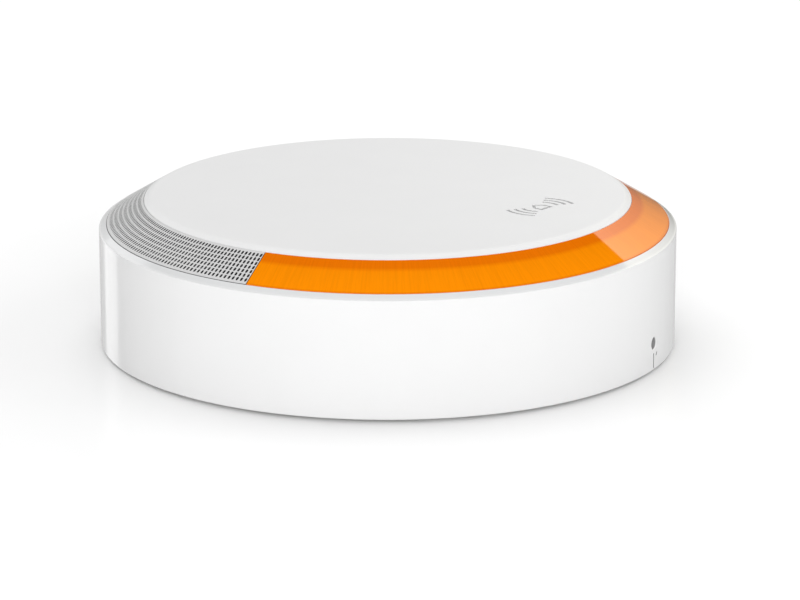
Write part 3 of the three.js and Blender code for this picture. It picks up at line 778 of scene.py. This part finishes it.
def make_lens():
    """The lens, with fine radial ribs on its underside."""
    inner, outer = BAND_EDGE
    inner_skirt, outer_skirt = inner + BAND_WALL, outer - BAND_WALL
    outline = rounded([
        (outer, BAND_FOOT, 0.2 * MM), (outer, band_z(outer), 0.12 * MM),
        (inner, band_z(inner), 0.12 * MM), (inner, INNER_SKIRT_LOW, 0.2 * MM),
        (inner_skirt, INNER_SKIRT_LOW, 0.2 * MM), (inner_skirt, band_z(inner_skirt) - LENS_WALL, 0),
        (outer_skirt, band_z(outer_skirt) - LENS_WALL, 0), (outer_skirt, BAND_FOOT, 0.2 * MM),
    ], steps=3)

    def ribbed(r, z, degrees):
        if abs(band_z(r) - LENS_WALL - z) < 0.01 * MM:
            z += RIB_HEIGHT * abs(((degrees / RIB_PITCH) % 1) * 2 - 1)
        return r, z

    half_width = LENS_HALF_ANGLE - BAND_SPLIT
    steps = 4 * round(2 * half_width / RIB_PITCH)
    mesh = revolved(outline, steps, centre=BOTTOM, half_width=half_width, shape=ribbed)
    place("light_lens", shade(mesh), "head", "amber_lens", ["lens"])


GRILLE_ROWS = 7
GRILLE_WALL = 0.9 * MM
GRILLE_HALF_WIDTH = 180 - LENS_HALF_ANGLE - BAND_SPLIT
GRILLE_COLUMNS = round(2 * GRILLE_HALF_WIDTH / 0.97)
CELL_WIDTH = 2 * GRILLE_HALF_WIDTH / GRILLE_COLUMNS  # degrees from hole to hole
HOLES_FROM = BAND_EDGE[0] + 0.65 * MM
HOLES_TO = BAND_EDGE[1] - 0.75 * MM
ROW_PITCH = (HOLES_TO - HOLES_FROM) / GRILLE_ROWS
HOLE_SIZE = (0.86 * MM, 1.62 * MM)  # across and along the radius
HOLE_ROUNDNESS = (0.8, 0.7)  # 1 is an ellipse, less is squarer
HOLE_RIM = (0.04 * MM, 0.05 * MM)  # width and depth of the chamfer round a hole
HOLE_SIDES = 12
PER_SIDE = HOLE_SIDES // 4  # steps along each side of a hole's cell
SLANT = math.hypot(1, BAND_SLOPE)
DOWN = (-BAND_SLOPE / SLANT * GRILLE_WALL, -GRILLE_WALL / SLANT)  # (r, z) to the underside


class Skin:
    """Points and faces gathered strip by strip."""

    def __init__(self):
        self.verts = []
        self.faces = []

    def strip(self, rows, closed):
        """Faces between rows of equally many points, each row a ring or an open line."""
        length = len(rows[0])
        first = len(self.verts)
        for row in rows:
            self.verts += row
        for low in range(first, first + (len(rows) - 1) * length, length):
            for i in range(length if closed else length - 1):
                j = (i + 1) % length
                self.faces.append((low + i, low + j, low + length + j, low + length + i))


def on_band(radius, degrees, below):
    """A point on the band's face or, below it, on the grille's underside."""
    r = radius + (DOWN[0] if below else 0)
    z = band_z(radius) + (DOWN[1] if below else 0)
    a = math.radians(degrees)
    return r * math.cos(a), r * math.sin(a), z


def hole_ring(radius, degrees, below, grow=0.0):
    """The edge of the slot with its middle there."""
    half_u, half_v = HOLE_SIZE[0] / 2 + grow, HOLE_SIZE[1] / 2 + grow
    ring = []
    for i in range(HOLE_SIDES):
        t = TAU * (i + 0.5) / HOLE_SIDES
        u = half_u * math.copysign(abs(math.cos(t)) ** HOLE_ROUNDNESS[0], math.cos(t))
        v = half_v * math.copysign(abs(math.sin(t)) ** HOLE_ROUNDNESS[1], math.sin(t))
        ring.append(on_band(radius + v / SLANT, degrees + math.degrees(u / radius), below))
    return ring


def cell_ring(low_r, high_r, low_a, high_a, below):
    """The edge of a hole's cell, with its first point level with the hole's."""
    corners = [(high_r, high_a), (high_r, low_a), (low_r, low_a), (low_r, high_a)]
    edge = []
    for (r0, a0), (r1, a1) in zip(corners, corners[1:] + corners[:1]):
        for k in range(PER_SIDE):
            edge.append((r0 + (r1 - r0) * k / PER_SIDE, a0 + (a1 - a0) * k / PER_SIDE))
    return [on_band(r, a, below) for r, a in edge[-1:] + edge[:-1]]


def grille_cell(low_r, low_a):
    """The rings of one cell, from the face round it through its hole to its underside."""
    cell = (low_r, low_r + ROW_PITCH, low_a, low_a + CELL_WIDTH)
    middle = (low_r + ROW_PITCH / 2, low_a + CELL_WIDTH / 2)
    throat = [(x, y, z - HOLE_RIM[1]) for x, y, z in hole_ring(*middle, False)]
    return [
        cell_ring(*cell, False), hole_ring(*middle, False, HOLE_RIM[0]), throat,
        hole_ring(*middle, True), cell_ring(*cell, True),
    ]


def grille_rims():
    """The (r, z) lines of the margins beside the holes and of the skirts under them."""
    inner, outer = BAND_EDGE
    edge = 0.12 * MM
    under_in, under_out = [(r + DOWN[0], band_z(r) + DOWN[1]) for r in (HOLES_FROM, HOLES_TO)]
    rim_in = [
        (HOLES_FROM, band_z(HOLES_FROM)), (inner + edge, band_z(inner + edge)),
        (inner, band_z(inner) - edge), (inner, INNER_SKIRT_LOW), (HOLES_FROM, INNER_SKIRT_LOW),
        (HOLES_FROM, under_in[1]), under_in,
    ]
    rim_out = [
        (HOLES_TO, band_z(HOLES_TO)), (outer - edge, band_z(outer - edge)),
        (outer, band_z(outer) - edge), (outer, BAND_FOOT), (outer - BAND_WALL, BAND_FOOT),
        (outer - BAND_WALL, under_out[1] - 0.3 * MM), under_out,
    ]
    return rim_in, rim_out


def make_grille():
    """The grille: rows of small slotted holes through a sloping half ring."""
    skin = Skin()
    start = TOP - GRILLE_HALF_WIDTH
    for column in range(GRILLE_COLUMNS):
        for row in range(GRILLE_ROWS):
            rings = grille_cell(HOLES_FROM + row * ROW_PITCH, start + column * CELL_WIDTH)
            skin.strip(rings, closed=True)
    turns = [math.radians(start + k * CELL_WIDTH / PER_SIDE)
             for k in range(GRILLE_COLUMNS * PER_SIDE + 1)]
    for rim in grille_rims():
        skin.strip([[(r * math.cos(a), r * math.sin(a), z) for a in turns] for r, z in rim],
                   closed=False)
    mesh = mesh_from(skin.verts, skin.faces, merge=2e-6, fill=True)
    place("grille_band", shade(mesh, 40), "head", "grille_grey", ["grille"])


# ---------------- wall plate and gasket

HOOK_DIRECTIONS = (45, 135, 225, 315)
HOOK_HALF_WIDTH = 5.0  # degrees
HOOK = (84.2 * MM, 86 * MM, 89 * MM)  # its post's two radii and its tip's
HOOK_UNDER, HOOK_TOP = 5.4 * MM, 7.2 * MM
PLATE_TOP = 2.4 * MM
PLATE_ROOT = 1.9 * MM  # hooks and tab start inside the plate
TAB = (84.3 * MM, 86 * MM, 13.5 * MM)  # the lock tab's two radii and its top
TAB_HALF_WIDTH = 4.7  # degrees
WALL_SLOTS = ((60, 0, 0), (-60, 0, 0), (0, 60, 90), (38, -52, 90))  # x, y in mm, direction
THROUGH_PLATE = (-MM, 4 * MM)  # from under the plate to above it


def stadium(length, width):
    """A slot's outline, rounded at both ends, along X."""
    steps = 12
    radius = width / 2
    reach = length / 2 - radius
    points = []
    for side in (1, -1):
        for k in range(steps + 1):
            a = math.radians(-90 + 180 * k / steps)
            points.append((side * (reach + radius * math.cos(a)), side * radius * math.sin(a)))
    return points


def pillar(radius, low, high, x=0.0, y=0.0, steps=32):
    """An upright cylinder."""
    outline = [(0, low), (radius, low), (radius, high), (0, high)]
    mesh = revolved(outline, steps, closed=False)
    mesh.transform(Matrix.Translation((x, y, 0)))
    return mesh


def radial_pin(radius, inner, outer, turn=0.0):
    """A rod at the lock screw's height along the radius at BOTTOM, turned by some degrees."""
    mesh = pillar(radius, inner, outer)
    mesh.transform(Matrix.Rotation(math.pi / 2, 4, "X"))
    mesh.transform(Matrix.Translation((0, 0, LOCK_Z)))
    return around(mesh, turn)


def plate_raised():
    """The four hooks and the lock tab that stand on the plate."""
    post_in, post_out, tip = HOOK
    hook = [
        (post_in, PLATE_ROOT), (post_out, PLATE_ROOT), (post_out, HOOK_UNDER), (tip, HOOK_UNDER),
        (tip, HOOK_TOP), (post_in, HOOK_TOP),
    ]
    raised = [revolved(hook, 20, centre=toward, half_width=HOOK_HALF_WIDTH)
              for toward in HOOK_DIRECTIONS]
    tab_in, tab_out, tab_top = TAB
    raised.append(sector_mesh(tab_in, tab_out, PLATE_ROOT, tab_top, BOTTOM - LOCK_TURN,
                              TAB_HALF_WIDTH))
    return raised


def plate_openings():
    """The tab's lock hole, the plunger's curved slot and the slots for the wall's screws."""
    openings = [radial_pin(2.4 * MM, 81 * MM, 89 * MM, -LOCK_TURN)]
    slot_half = 4.4 * MM
    reach = math.degrees(slot_half / -PLUNGER_Y)
    openings.append(sector_mesh(-PLUNGER_Y - slot_half, -PLUNGER_Y + slot_half,
                                *THROUGH_PLATE, BOTTOM - LOCK_TURN / 2, LOCK_TURN / 2 + reach))
    for x, y, along in WALL_SLOTS:
        slot = around(extruded(stadium(10 * MM, 5.2 * MM), *THROUGH_PLATE), along)
        slot.transform(Matrix.Translation((x * MM, y * MM, 0)))
        openings.append(slot)
    return openings


def make_plate():
    """The wall plate: a disc with bayonet hooks, the lock tab and its slots."""
    corners = [
        (0, 0, 0), (PLATE_R, 0, 0.6 * MM), (PLATE_R, PLATE_TOP, 0.3 * MM), (0, PLATE_TOP, 0),
    ]
    disc = revolved(rounded(corners, closed=False, steps=3), 240, closed=False)
    plate = softened(cut(joined_solid(disc, *plate_raised()), *plate_openings()), 0.15 * MM)
    place("wall_disc", shade(plate), "wall_plate", "white_moulding", ["mounting_plate"])


def make_gasket():
    """The foam ring between the head and the wall."""
    low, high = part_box("rear_gasket")
    inner, bulge = 92.5 * MM, 1.2 * MM
    corners = ((inner, low.z), (high.x, low.z), (high.x, high.z), (inner, high.z))
    ring = revolved(rounded([(r, z, bulge) for r, z in corners]), 240)
    place("foam_ring", shade(ring, 60), "gasket", "seal_rubber", ["rear_gasket"])


# ---------------- rear shell and battery cover

STEP_WALL = (80.5 * MM, 82 * MM)
COLLAR = (90 * MM, 92 * MM)
ROOF = (14 * MM, 15.6 * MM)
FLANGE = (7.4 * MM, 9 * MM)
BACK_TOP = 5.2 * MM  # the back wall's inner face
LUG = (86.6 * MM, 90.8 * MM, 5.1 * MM)  # a bayonet lug's two radii and its top
BAY = (-64.6 * MM, -52.7 * MM, 64.6 * MM, 17.5 * MM)  # x0, y0, x1, y1 of the cell bay
BAY_WALL = 1.5 * MM
BAY_TOP = 24 * MM
DOOR_R = 79.6 * MM  # the battery cover's round corners
DOOR_TOP = 4.8 * MM
TONGUE_TOP = 7 * MM
GRIP = (-24 * MM, -20.6 * MM, 24 * MM, -14.6 * MM)
GRIP_RIBS = 9
BOSS_R = 2.6 * MM
COVER_SCREWS = [(x * MM, y * MM) for x, y in ((45, 13.2), (-45, 13.2), (45, -48.4), (-45, -48.4))]
HOUSING_SCREWS = (0, 60, 120, 180, 235, 305)
HOUSING_SCREW_R = 86 * MM
BUTTON = (-26 * MM, -64.5 * MM)


def grown(box, by):
    """A rectangle x0, y0, x1, y1 made larger all round."""
    return (box[0] - by, box[1] - by, box[2] + by, box[3] + by)


def block(box, low, high):
    """A box over a rectangle x0, y0, x1, y1."""
    return box_mesh((box[0], box[1], low), (box[2], box[3], high))


def bay_plate(inset, low, high, radius, from_z):
    """The bay's rectangle made smaller all round, with its corners cut round."""
    disc = pillar(radius, from_z, 10 * MM, steps=180)
    return combined(block(grown(BAY, -inset), low, high), [disc], "INTERSECT")


def housing_screw_spots():
    """(x, y) of each screw that holds the back shell to the chassis."""
    turns = [math.radians(toward) for toward in HOUSING_SCREWS]
    return [(HOUSING_SCREW_R * math.cos(a), HOUSING_SCREW_R * math.sin(a)) for a in turns]


def rear_ring():
    """The back shell's turned part: stepped wall, roof, collar and flange."""
    rim, inner = INNER_R - GAP, STEP_WALL[0] - 2 * MM
    outline = [
        (inner, BACK_Z), (STEP_WALL[1], BACK_Z), (STEP_WALL[1], ROOF[0]), (COLLAR[0], ROOF[0]),
        (COLLAR[0], BACK_Z), (COLLAR[1], BACK_Z), (COLLAR[1], FLANGE[0]), (rim, FLANGE[0]),
        (rim, FLANGE[1]), (COLLAR[1], FLANGE[1]), (COLLAR[1], ROOF[1]), (STEP_WALL[0], ROOF[1]),
        (STEP_WALL[0], BACK_TOP), (inner, BACK_TOP),
    ]
    return revolved(outline, 180)


def rear_solids():
    """What is joined to the ring: back wall, bay walls, bayonet lugs, lock block, screw bosses."""
    within = pillar(STEP_WALL[1] - 0.2 * MM, 0, 30 * MM, steps=180)
    low_walls = combined(block(grown(BAY, BAY_WALL), BACK_Z, ROOF[1]), [within], "INTERSECT")
    high_walls = block(grown(BAY, BAY_WALL), 14.5 * MM, BAY_TOP)
    solids = [pillar(79.2 * MM, BACK_Z, BACK_TOP, steps=180), low_walls, high_walls]
    lug_in, lug_out, lug_top = LUG
    for toward in HOOK_DIRECTIONS:
        solids.append(sector_mesh(lug_in, lug_out, BACK_Z, lug_top, toward + LOCK_TURN,
                                  HOOK_HALF_WIDTH, 12))
    solids.append(block((-5 * MM, -96.8 * MM, 5 * MM, -88.2 * MM), FLANGE[0], ROOF[1]))
    solids += [pillar(BOSS_R, 6.7 * MM, 11 * MM, *spot) for spot in COVER_SCREWS]
    return solids


def rear_openings():
    """The cell bay, the battery cover's recess and the holes for screws, plunger and button."""
    bosses = [pillar(BOSS_R, 6 * MM, 11 * MM, *spot) for spot in COVER_SCREWS]
    room = cut(block(BAY, 7.2 * MM, 25 * MM), *bosses)
    recess = bay_plate(0.6 * MM, 0, 6.2 * MM, DOOR_R, -MM)
    openings = [
        room, recess, block(grown(BAY, -7.9 * MM), 0, 8 * MM),
        radial_pin(2.3 * MM, 86 * MM, 100 * MM),
        pillar(3.6 * MM, 0, 7 * MM, 0, PLUNGER_Y), pillar(4.4 * MM, 0, 7 * MM, *BUTTON),
    ]
    openings += [pillar(1.5 * MM, 0, 12 * MM, *spot) for spot in COVER_SCREWS]
    openings += [pillar(1.8 * MM, 10 * MM, 20 * MM, *spot) for spot in housing_screw_spots()]
    return openings


def make_rear_shell():
    """The head's back: flat behind, with the cell bay and the bayonet's groove."""
    shell = joined_solid(rear_ring(), *rear_solids())
    shell = softened(cut(shell, *rear_openings()), 0.2 * MM)
    place("back_shell", shade(shell), "head", "white_moulding", ["rear_shell"])


def grip_tool():
    """The battery cover's finger pocket, with ribs across its floor."""
    ribs = []
    for k in range(GRIP_RIBS):
        x = GRIP[0] + (k + 1) * (GRIP[2] - GRIP[0]) / (GRIP_RIBS + 1)
        rib = (x - 0.5 * MM, GRIP[1] + MM, x + 0.5 * MM, GRIP[3] - MM)
        ribs.append(block(rib, BACK_Z + 0.25 * MM, BACK_Z + 2 * MM))
    return cut(block(GRIP, 0, BACK_Z + 0.8 * MM), *ribs)


def make_battery_cover():
    """The cover over the cell bay, with a tongue that fits into the bay."""
    flange = bay_plate(0.9 * MM, BACK_Z, DOOR_TOP, DOOR_R - GAP, 0)
    cover = joined_solid(flange, block(grown(BAY, -8.2 * MM), 4.3 * MM, TONGUE_TOP))
    tools = [grip_tool()]
    for spot in COVER_SCREWS:
        tools += [pillar(BOSS_R, 0, 4.3 * MM, *spot), pillar(1.5 * MM, 0, 8 * MM, *spot)]
    cover = softened(cut(cover, *tools), 0.2 * MM)
    place("battery_door", shade(cover), "head", "white_moulding", ["battery_cover"])


# ---------------- screws, plunger, button


def cross_recess(size, depth, spot):
    """A cross-shaped tool for a screw head that faces the wall."""
    narrow = size * 0.28
    cross = joined_solid(box_mesh((-size, -narrow, -depth), (size, narrow, depth)),
                         box_mesh((-narrow, -size, -depth), (narrow, size, depth)))
    cross.transform(Matrix.Translation(spot))
    return cross


def screw_mesh(low, head_r, head_z, shank_r, top, x, y):
    """A pointed screw with its head at the bottom."""
    corners = [
        (0, low, 0), (head_r, low, 0.3 * MM), (head_r, head_z, 0.1 * MM), (shank_r, head_z, 0),
        (shank_r, top - 0.8 * MM, 0), (0, top, 0),
    ]
    body = turned(corners, 32, (x, y, 0))
    return shade(cut(body, cross_recess(head_r * 0.6, 0.45 * MM, (x, y, low))))


def make_screws():
    """The battery cover's four screws and the back shell's six."""
    for i, spot in enumerate(COVER_SCREWS, 1):
        mesh = screw_mesh(BACK_Z, 2.2 * MM, 4 * MM, 1.2 * MM, 10.5 * MM, *spot)
        place(f"door_screw_{i}", mesh, "head", "steel", [f"cover_screw_{i}"])
    for i, spot in enumerate(housing_screw_spots(), 1):
        mesh = screw_mesh(11.5 * MM, 2.8 * MM, 13.7 * MM, 1.5 * MM, 25 * MM, *spot)
        place(f"shell_screw_{i}", mesh, "head", "steel", [f"housing_screw_{i}"])


def make_lock_screw():
    """A headless screw along the radius at BOTTOM, with a hexagon socket."""
    tip, end, radius = 87.5 * MM, 95.5 * MM, 2 * MM
    corners = [(0, tip, 0), (radius, tip, 0.4 * MM), (radius, end, 0.25 * MM), (0, end, 0)]
    body = cut(turned(corners, 48), pillar(MM, end - 2 * MM, end + MM, steps=6))
    body.transform(Matrix.Rotation(math.pi / 2, 4, "X"))
    body.transform(Matrix.Translation((0, 0, LOCK_Z)))
    # The lock screw takes the darker copy of the steel as painted shade.
    place("lock_pin", shade(body), "lock_screw", "steel", ["lock_screw"], SHADED_STEEL)


def make_plunger():
    """The tamper plunger: a tip that feels the wall, a collar and a stem."""
    tip, collar, stem = 3.2 * MM, 4.6 * MM, 1.6 * MM
    collar_low, collar_high, top = 5.6 * MM, 7 * MM, 12.7 * MM
    mesh = turned([
        (0, GAP, 0), (2.4 * MM, GAP, 0.3 * MM), (tip, 1.1 * MM, 0.3 * MM), (tip, collar_low, 0),
        (collar, collar_low, 0.15 * MM), (collar, collar_high, 0.15 * MM), (stem, collar_high, 0),
        (stem, top, 0.2 * MM), (0, top, 0),
    ], 48, (0, PLUNGER_Y, 0))
    place("plunger_pin", shade(mesh), "tamper_plunger", "plunger_grey", ["tamper_plunger"])


def make_button():
    """The pairing button: a dished cap, a collar and a stem."""
    dish, cap, collar, stem = 2 * MM, 4 * MM, 5 * MM, 2 * MM
    cap_low, collar_low, collar_high, top = 3.5 * MM, 5.6 * MM, 6.8 * MM, 11 * MM
    mesh = turned([
        (0, 3.7 * MM, 0), (dish, 3.7 * MM, 0.4 * MM), (3 * MM, cap_low, 0.3 * MM),
        (cap, cap_low, 0.4 * MM), (cap, collar_low, 0), (collar, collar_low, 0.15 * MM),
        (collar, collar_high, 0.15 * MM), (stem, collar_high, 0), (stem, top, 0.2 * MM),
        (0, top, 0),
    ], 48, (*BUTTON, 0))
    place("button_cap", shade(mesh), "pairing_button", "white_gloss", ["pairing_button"])


SPRING_WIRE_R = 0.3 * MM
SPRING_TURNS = 4
SPRING_SIDES = 12  # of the wire
SPRING_STEPS = 48 * SPRING_TURNS


def wire_ring(turn, slope, coil_r, height):
    """The wire's edge where the coil has turned by an angle."""
    out = Vector((math.cos(turn), math.sin(turn), 0))
    level = Vector((-math.sin(turn), math.cos(turn), 0))
    along = level * math.cos(slope) + Vector((0, 0, math.sin(slope)))
    middle = out * coil_r + Vector((0, PLUNGER_Y, height))
    angles = [TAU * side / SPRING_SIDES for side in range(SPRING_SIDES)]
    return [middle + SPRING_WIRE_R * (math.cos(a) * out + math.sin(a) * along.cross(out))
            for a in angles]


def make_tamper_spring():
    """The coil between the plunger's collar and the switch board; its upper end stays put."""
    low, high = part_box("tamper_spring")
    coil_r = high.x - SPRING_WIRE_R
    foot, rise = low.z + SPRING_WIRE_R, high.z - low.z - 2 * SPRING_WIRE_R
    slope = math.atan2(rise, SPRING_TURNS * TAU * coil_r)
    skin = Skin()
    rings = []
    for k in range(SPRING_STEPS + 1):
        share = k / SPRING_STEPS
        rings.append(wire_ring(SPRING_TURNS * TAU * share, slope, coil_r, foot + rise * share))
    skin.strip(rings, closed=True)
    mesh = mesh_from(skin.verts, skin.faces, fill=True)
    coil = place("spring_coil", shade(mesh, 50), "head", "steel", ["tamper_spring"])
    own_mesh(coil)


# ---------------- studio

CAMERA_AZIMUTH = -64.3
CAMERA_ELEVATION = 16.26
CAMERA_DISTANCE = 1.3912
CAMERA_LENS = 178.95
AIM_RIGHT, AIM_UP = 4.24 * MM, 12.89 * MM  # what the view is centred on, from the origin
FAR, NEAR = 9.0, 1.9  # how far the cards stand
CARD_TOP = 35.6  # elevation of the edge between the far card and the flag overhead
FLAG_TOP, FLAG_FOOT = 34, -28
FLOOR_GLOW = 0.18  # far from the object, where the light falls off


def direction(azimuth, elevation):
    a, e = math.radians(azimuth), math.radians(elevation)
    return Vector((math.sin(a) * math.cos(e), -math.cos(a) * math.cos(e), math.sin(e)))


def make_camera():
    data = bpy.data.cameras.new("camera")
    data.lens = CAMERA_LENS
    data.sensor_width = 36
    data.clip_start, data.clip_end = 0.05, 60
    camera = linked("camera", data)
    back = direction(CAMERA_AZIMUTH, CAMERA_ELEVATION)
    right = Vector((0, 0, 1)).cross(back).normalized()
    up = back.cross(right)
    camera.location = back * CAMERA_DISTANCE
    aim = right * AIM_RIGHT + up * AIM_UP
    camera.rotation_mode = "QUATERNION"
    camera.rotation_quaternion = (aim - camera.location).to_track_quat("-Z", "Y")
    bpy.context.scene.camera = camera


def emitter(name, strength):
    """A plain white light-giving material."""
    material = bpy.data.materials.new(name)
    material.use_nodes = True
    tree = material.node_tree
    tree.nodes.clear()
    glow = tree.nodes.new("ShaderNodeEmission")
    glow.inputs["Color"].default_value = (1, 1, 1, 1)
    glow.inputs["Strength"].default_value = strength
    out = tree.nodes.new("ShaderNodeOutputMaterial")
    tree.links.new(glow.outputs[0], out.inputs[0])
    return material


def reflected_only(card):
    """A card that shows only in reflections, as a studio's flags and softboxes do."""
    card.visible_camera = False
    card.visible_diffuse = False
    card.visible_shadow = False
    card.visible_transmission = False


def standing_card(name, azimuths, elevations, distance, strength, climb=0.0, tint=(1, 1, 1)):
    """A curved card round the object, between two azimuths from the camera's and two elevations.

    Its strength is that at the horizon; it grows exponentially with elevation, climb per degree.
    """
    steps = 24
    (start, end), (low, high) = azimuths, elevations
    verts, glows, faces = [], [], []
    for k in range(steps + 1):
        spot = direction(CAMERA_AZIMUTH + start + (end - start) * k / steps, 0) * distance
        for m in range(steps + 1):
            elevation = low + (high - low) * m / steps
            verts.append((spot.x, spot.y, distance * math.tan(math.radians(elevation))))
            glows.append(strength * math.exp(climb * elevation))
    for k in range(steps):
        for m in range(steps):
            a, b = k * (steps + 1) + m, (k + 1) * (steps + 1) + m
            faces.append((a, b, b + 1, a + 1))
    mesh = bpy.data.meshes.new(name)
    mesh.from_pydata(verts, [], faces)
    levels = mesh.color_attributes.new("glow", "FLOAT_COLOR", "POINT")
    for level, glow in zip(levels.data, glows):
        level.color = (glow * tint[0], glow * tint[1], glow * tint[2], 1)
    material = emitter(name, 1.0)
    tree = material.node_tree
    reader = tree.nodes.new("ShaderNodeVertexColor")
    reader.layer_name = "glow"
    tree.links.new(reader.outputs["Color"], tree.nodes["Emission"].inputs["Color"])
    mesh.materials.append(material)
    reflected_only(linked(name, mesh))


def overhead_card(name, height, radius, strength):
    """A round level card above the object."""
    built = bmesh.new()
    bmesh.ops.create_circle(built, cap_ends=True, segments=96, radius=radius)
    mesh = mesh_of(built)
    mesh.materials.append(emitter(name, strength))
    card = linked(name, mesh)
    card.location.z = height
    reflected_only(card)


def soft_light(name, azimuth, elevation, distance, size, power):
    """A round area light that faces the origin, at an azimuth from the camera's."""
    data = bpy.data.lights.new(name, "AREA")
    data.shape = "DISK"
    data.size = size
    data.energy = power
    light = linked(name, data)
    towards = direction(CAMERA_AZIMUTH + azimuth, elevation)
    light.location = towards * distance
    light.rotation_mode = "QUATERNION"
    light.rotation_quaternion = towards.to_track_quat("Z", "Y")
    light.visible_glossy = False


def make_floor():
    """A white floor that glows a little more away from the object."""
    n = Nodes("studio_floor")
    n.color(n.ramp(n.noise(2.0), [(0.3, grey(0.97)), (0.7, grey(0.98))]))
    n.rough(n.noise(3.0), 0.18, 0.22)
    n.set(Specular_IOR_Level=0.3, Emission_Color=(1, 1, 1, 1))
    radius, _ = polar(n)
    glow = n.ranged(radius, OUTER_R, 3 * OUTER_R, 0.0, FLOOR_GLOW)
    n.link(glow, n.shader.inputs["Emission Strength"])
    built = bmesh.new()
    bmesh.ops.create_grid(built, x_segments=4, y_segments=4, size=12)
    mesh = mesh_of(built)
    mesh.materials.append(n.material)
    floor = linked("studio_floor", mesh)
    floor.location.z = CAD_BOX[0].z - 0.05 * MM
    floor.visible_glossy = False


def make_world():
    world = bpy.data.worlds.new("studio")
    bpy.context.scene.world = world
    world.use_nodes = True
    background = world.node_tree.nodes["Background"]
    background.inputs["Color"].default_value = (1, 1, 1, 1)
    background.inputs["Strength"].default_value = 0.6


def make_studio():
    """Soft lights for the diffuse light, and cards that only the glossy plastic shows."""
    bpy.context.scene.view_settings.view_transform = "Standard"
    make_world()
    make_floor()
    soft_light("key", 2, 14, 2.0, 1.0, 15)
    soft_light("top", -145, 64, 1.6, 2.0, 11.4)
    soft_light("side", 92, 48, 0.38, 0.25, 0.19)
    overhead_card("flag_overhead", FAR * math.tan(math.radians(CARD_TOP)), FAR, 0.0)
    standing_card("box_right", (100, 172), (-10, CARD_TOP), FAR, 0.3, 0.055, (1.0, 0.97, 0.82))
    standing_card("flag_left", (-132, -90), (FLAG_FOOT, FLAG_TOP), NEAR, 0.4)
    standing_card("strip_left", (-151, -134), (FLAG_FOOT, FLAG_TOP), NEAR, 1.2)


# ---------------- build

make_camera()
make_studio()
dress_cad_nodes()
make_housing()
make_cover()
make_lens()
make_grille()
make_plate()
make_gasket()
make_rear_shell()
make_battery_cover()
make_screws()
make_lock_screw()
make_plunger()
make_button()
make_tamper_spring()
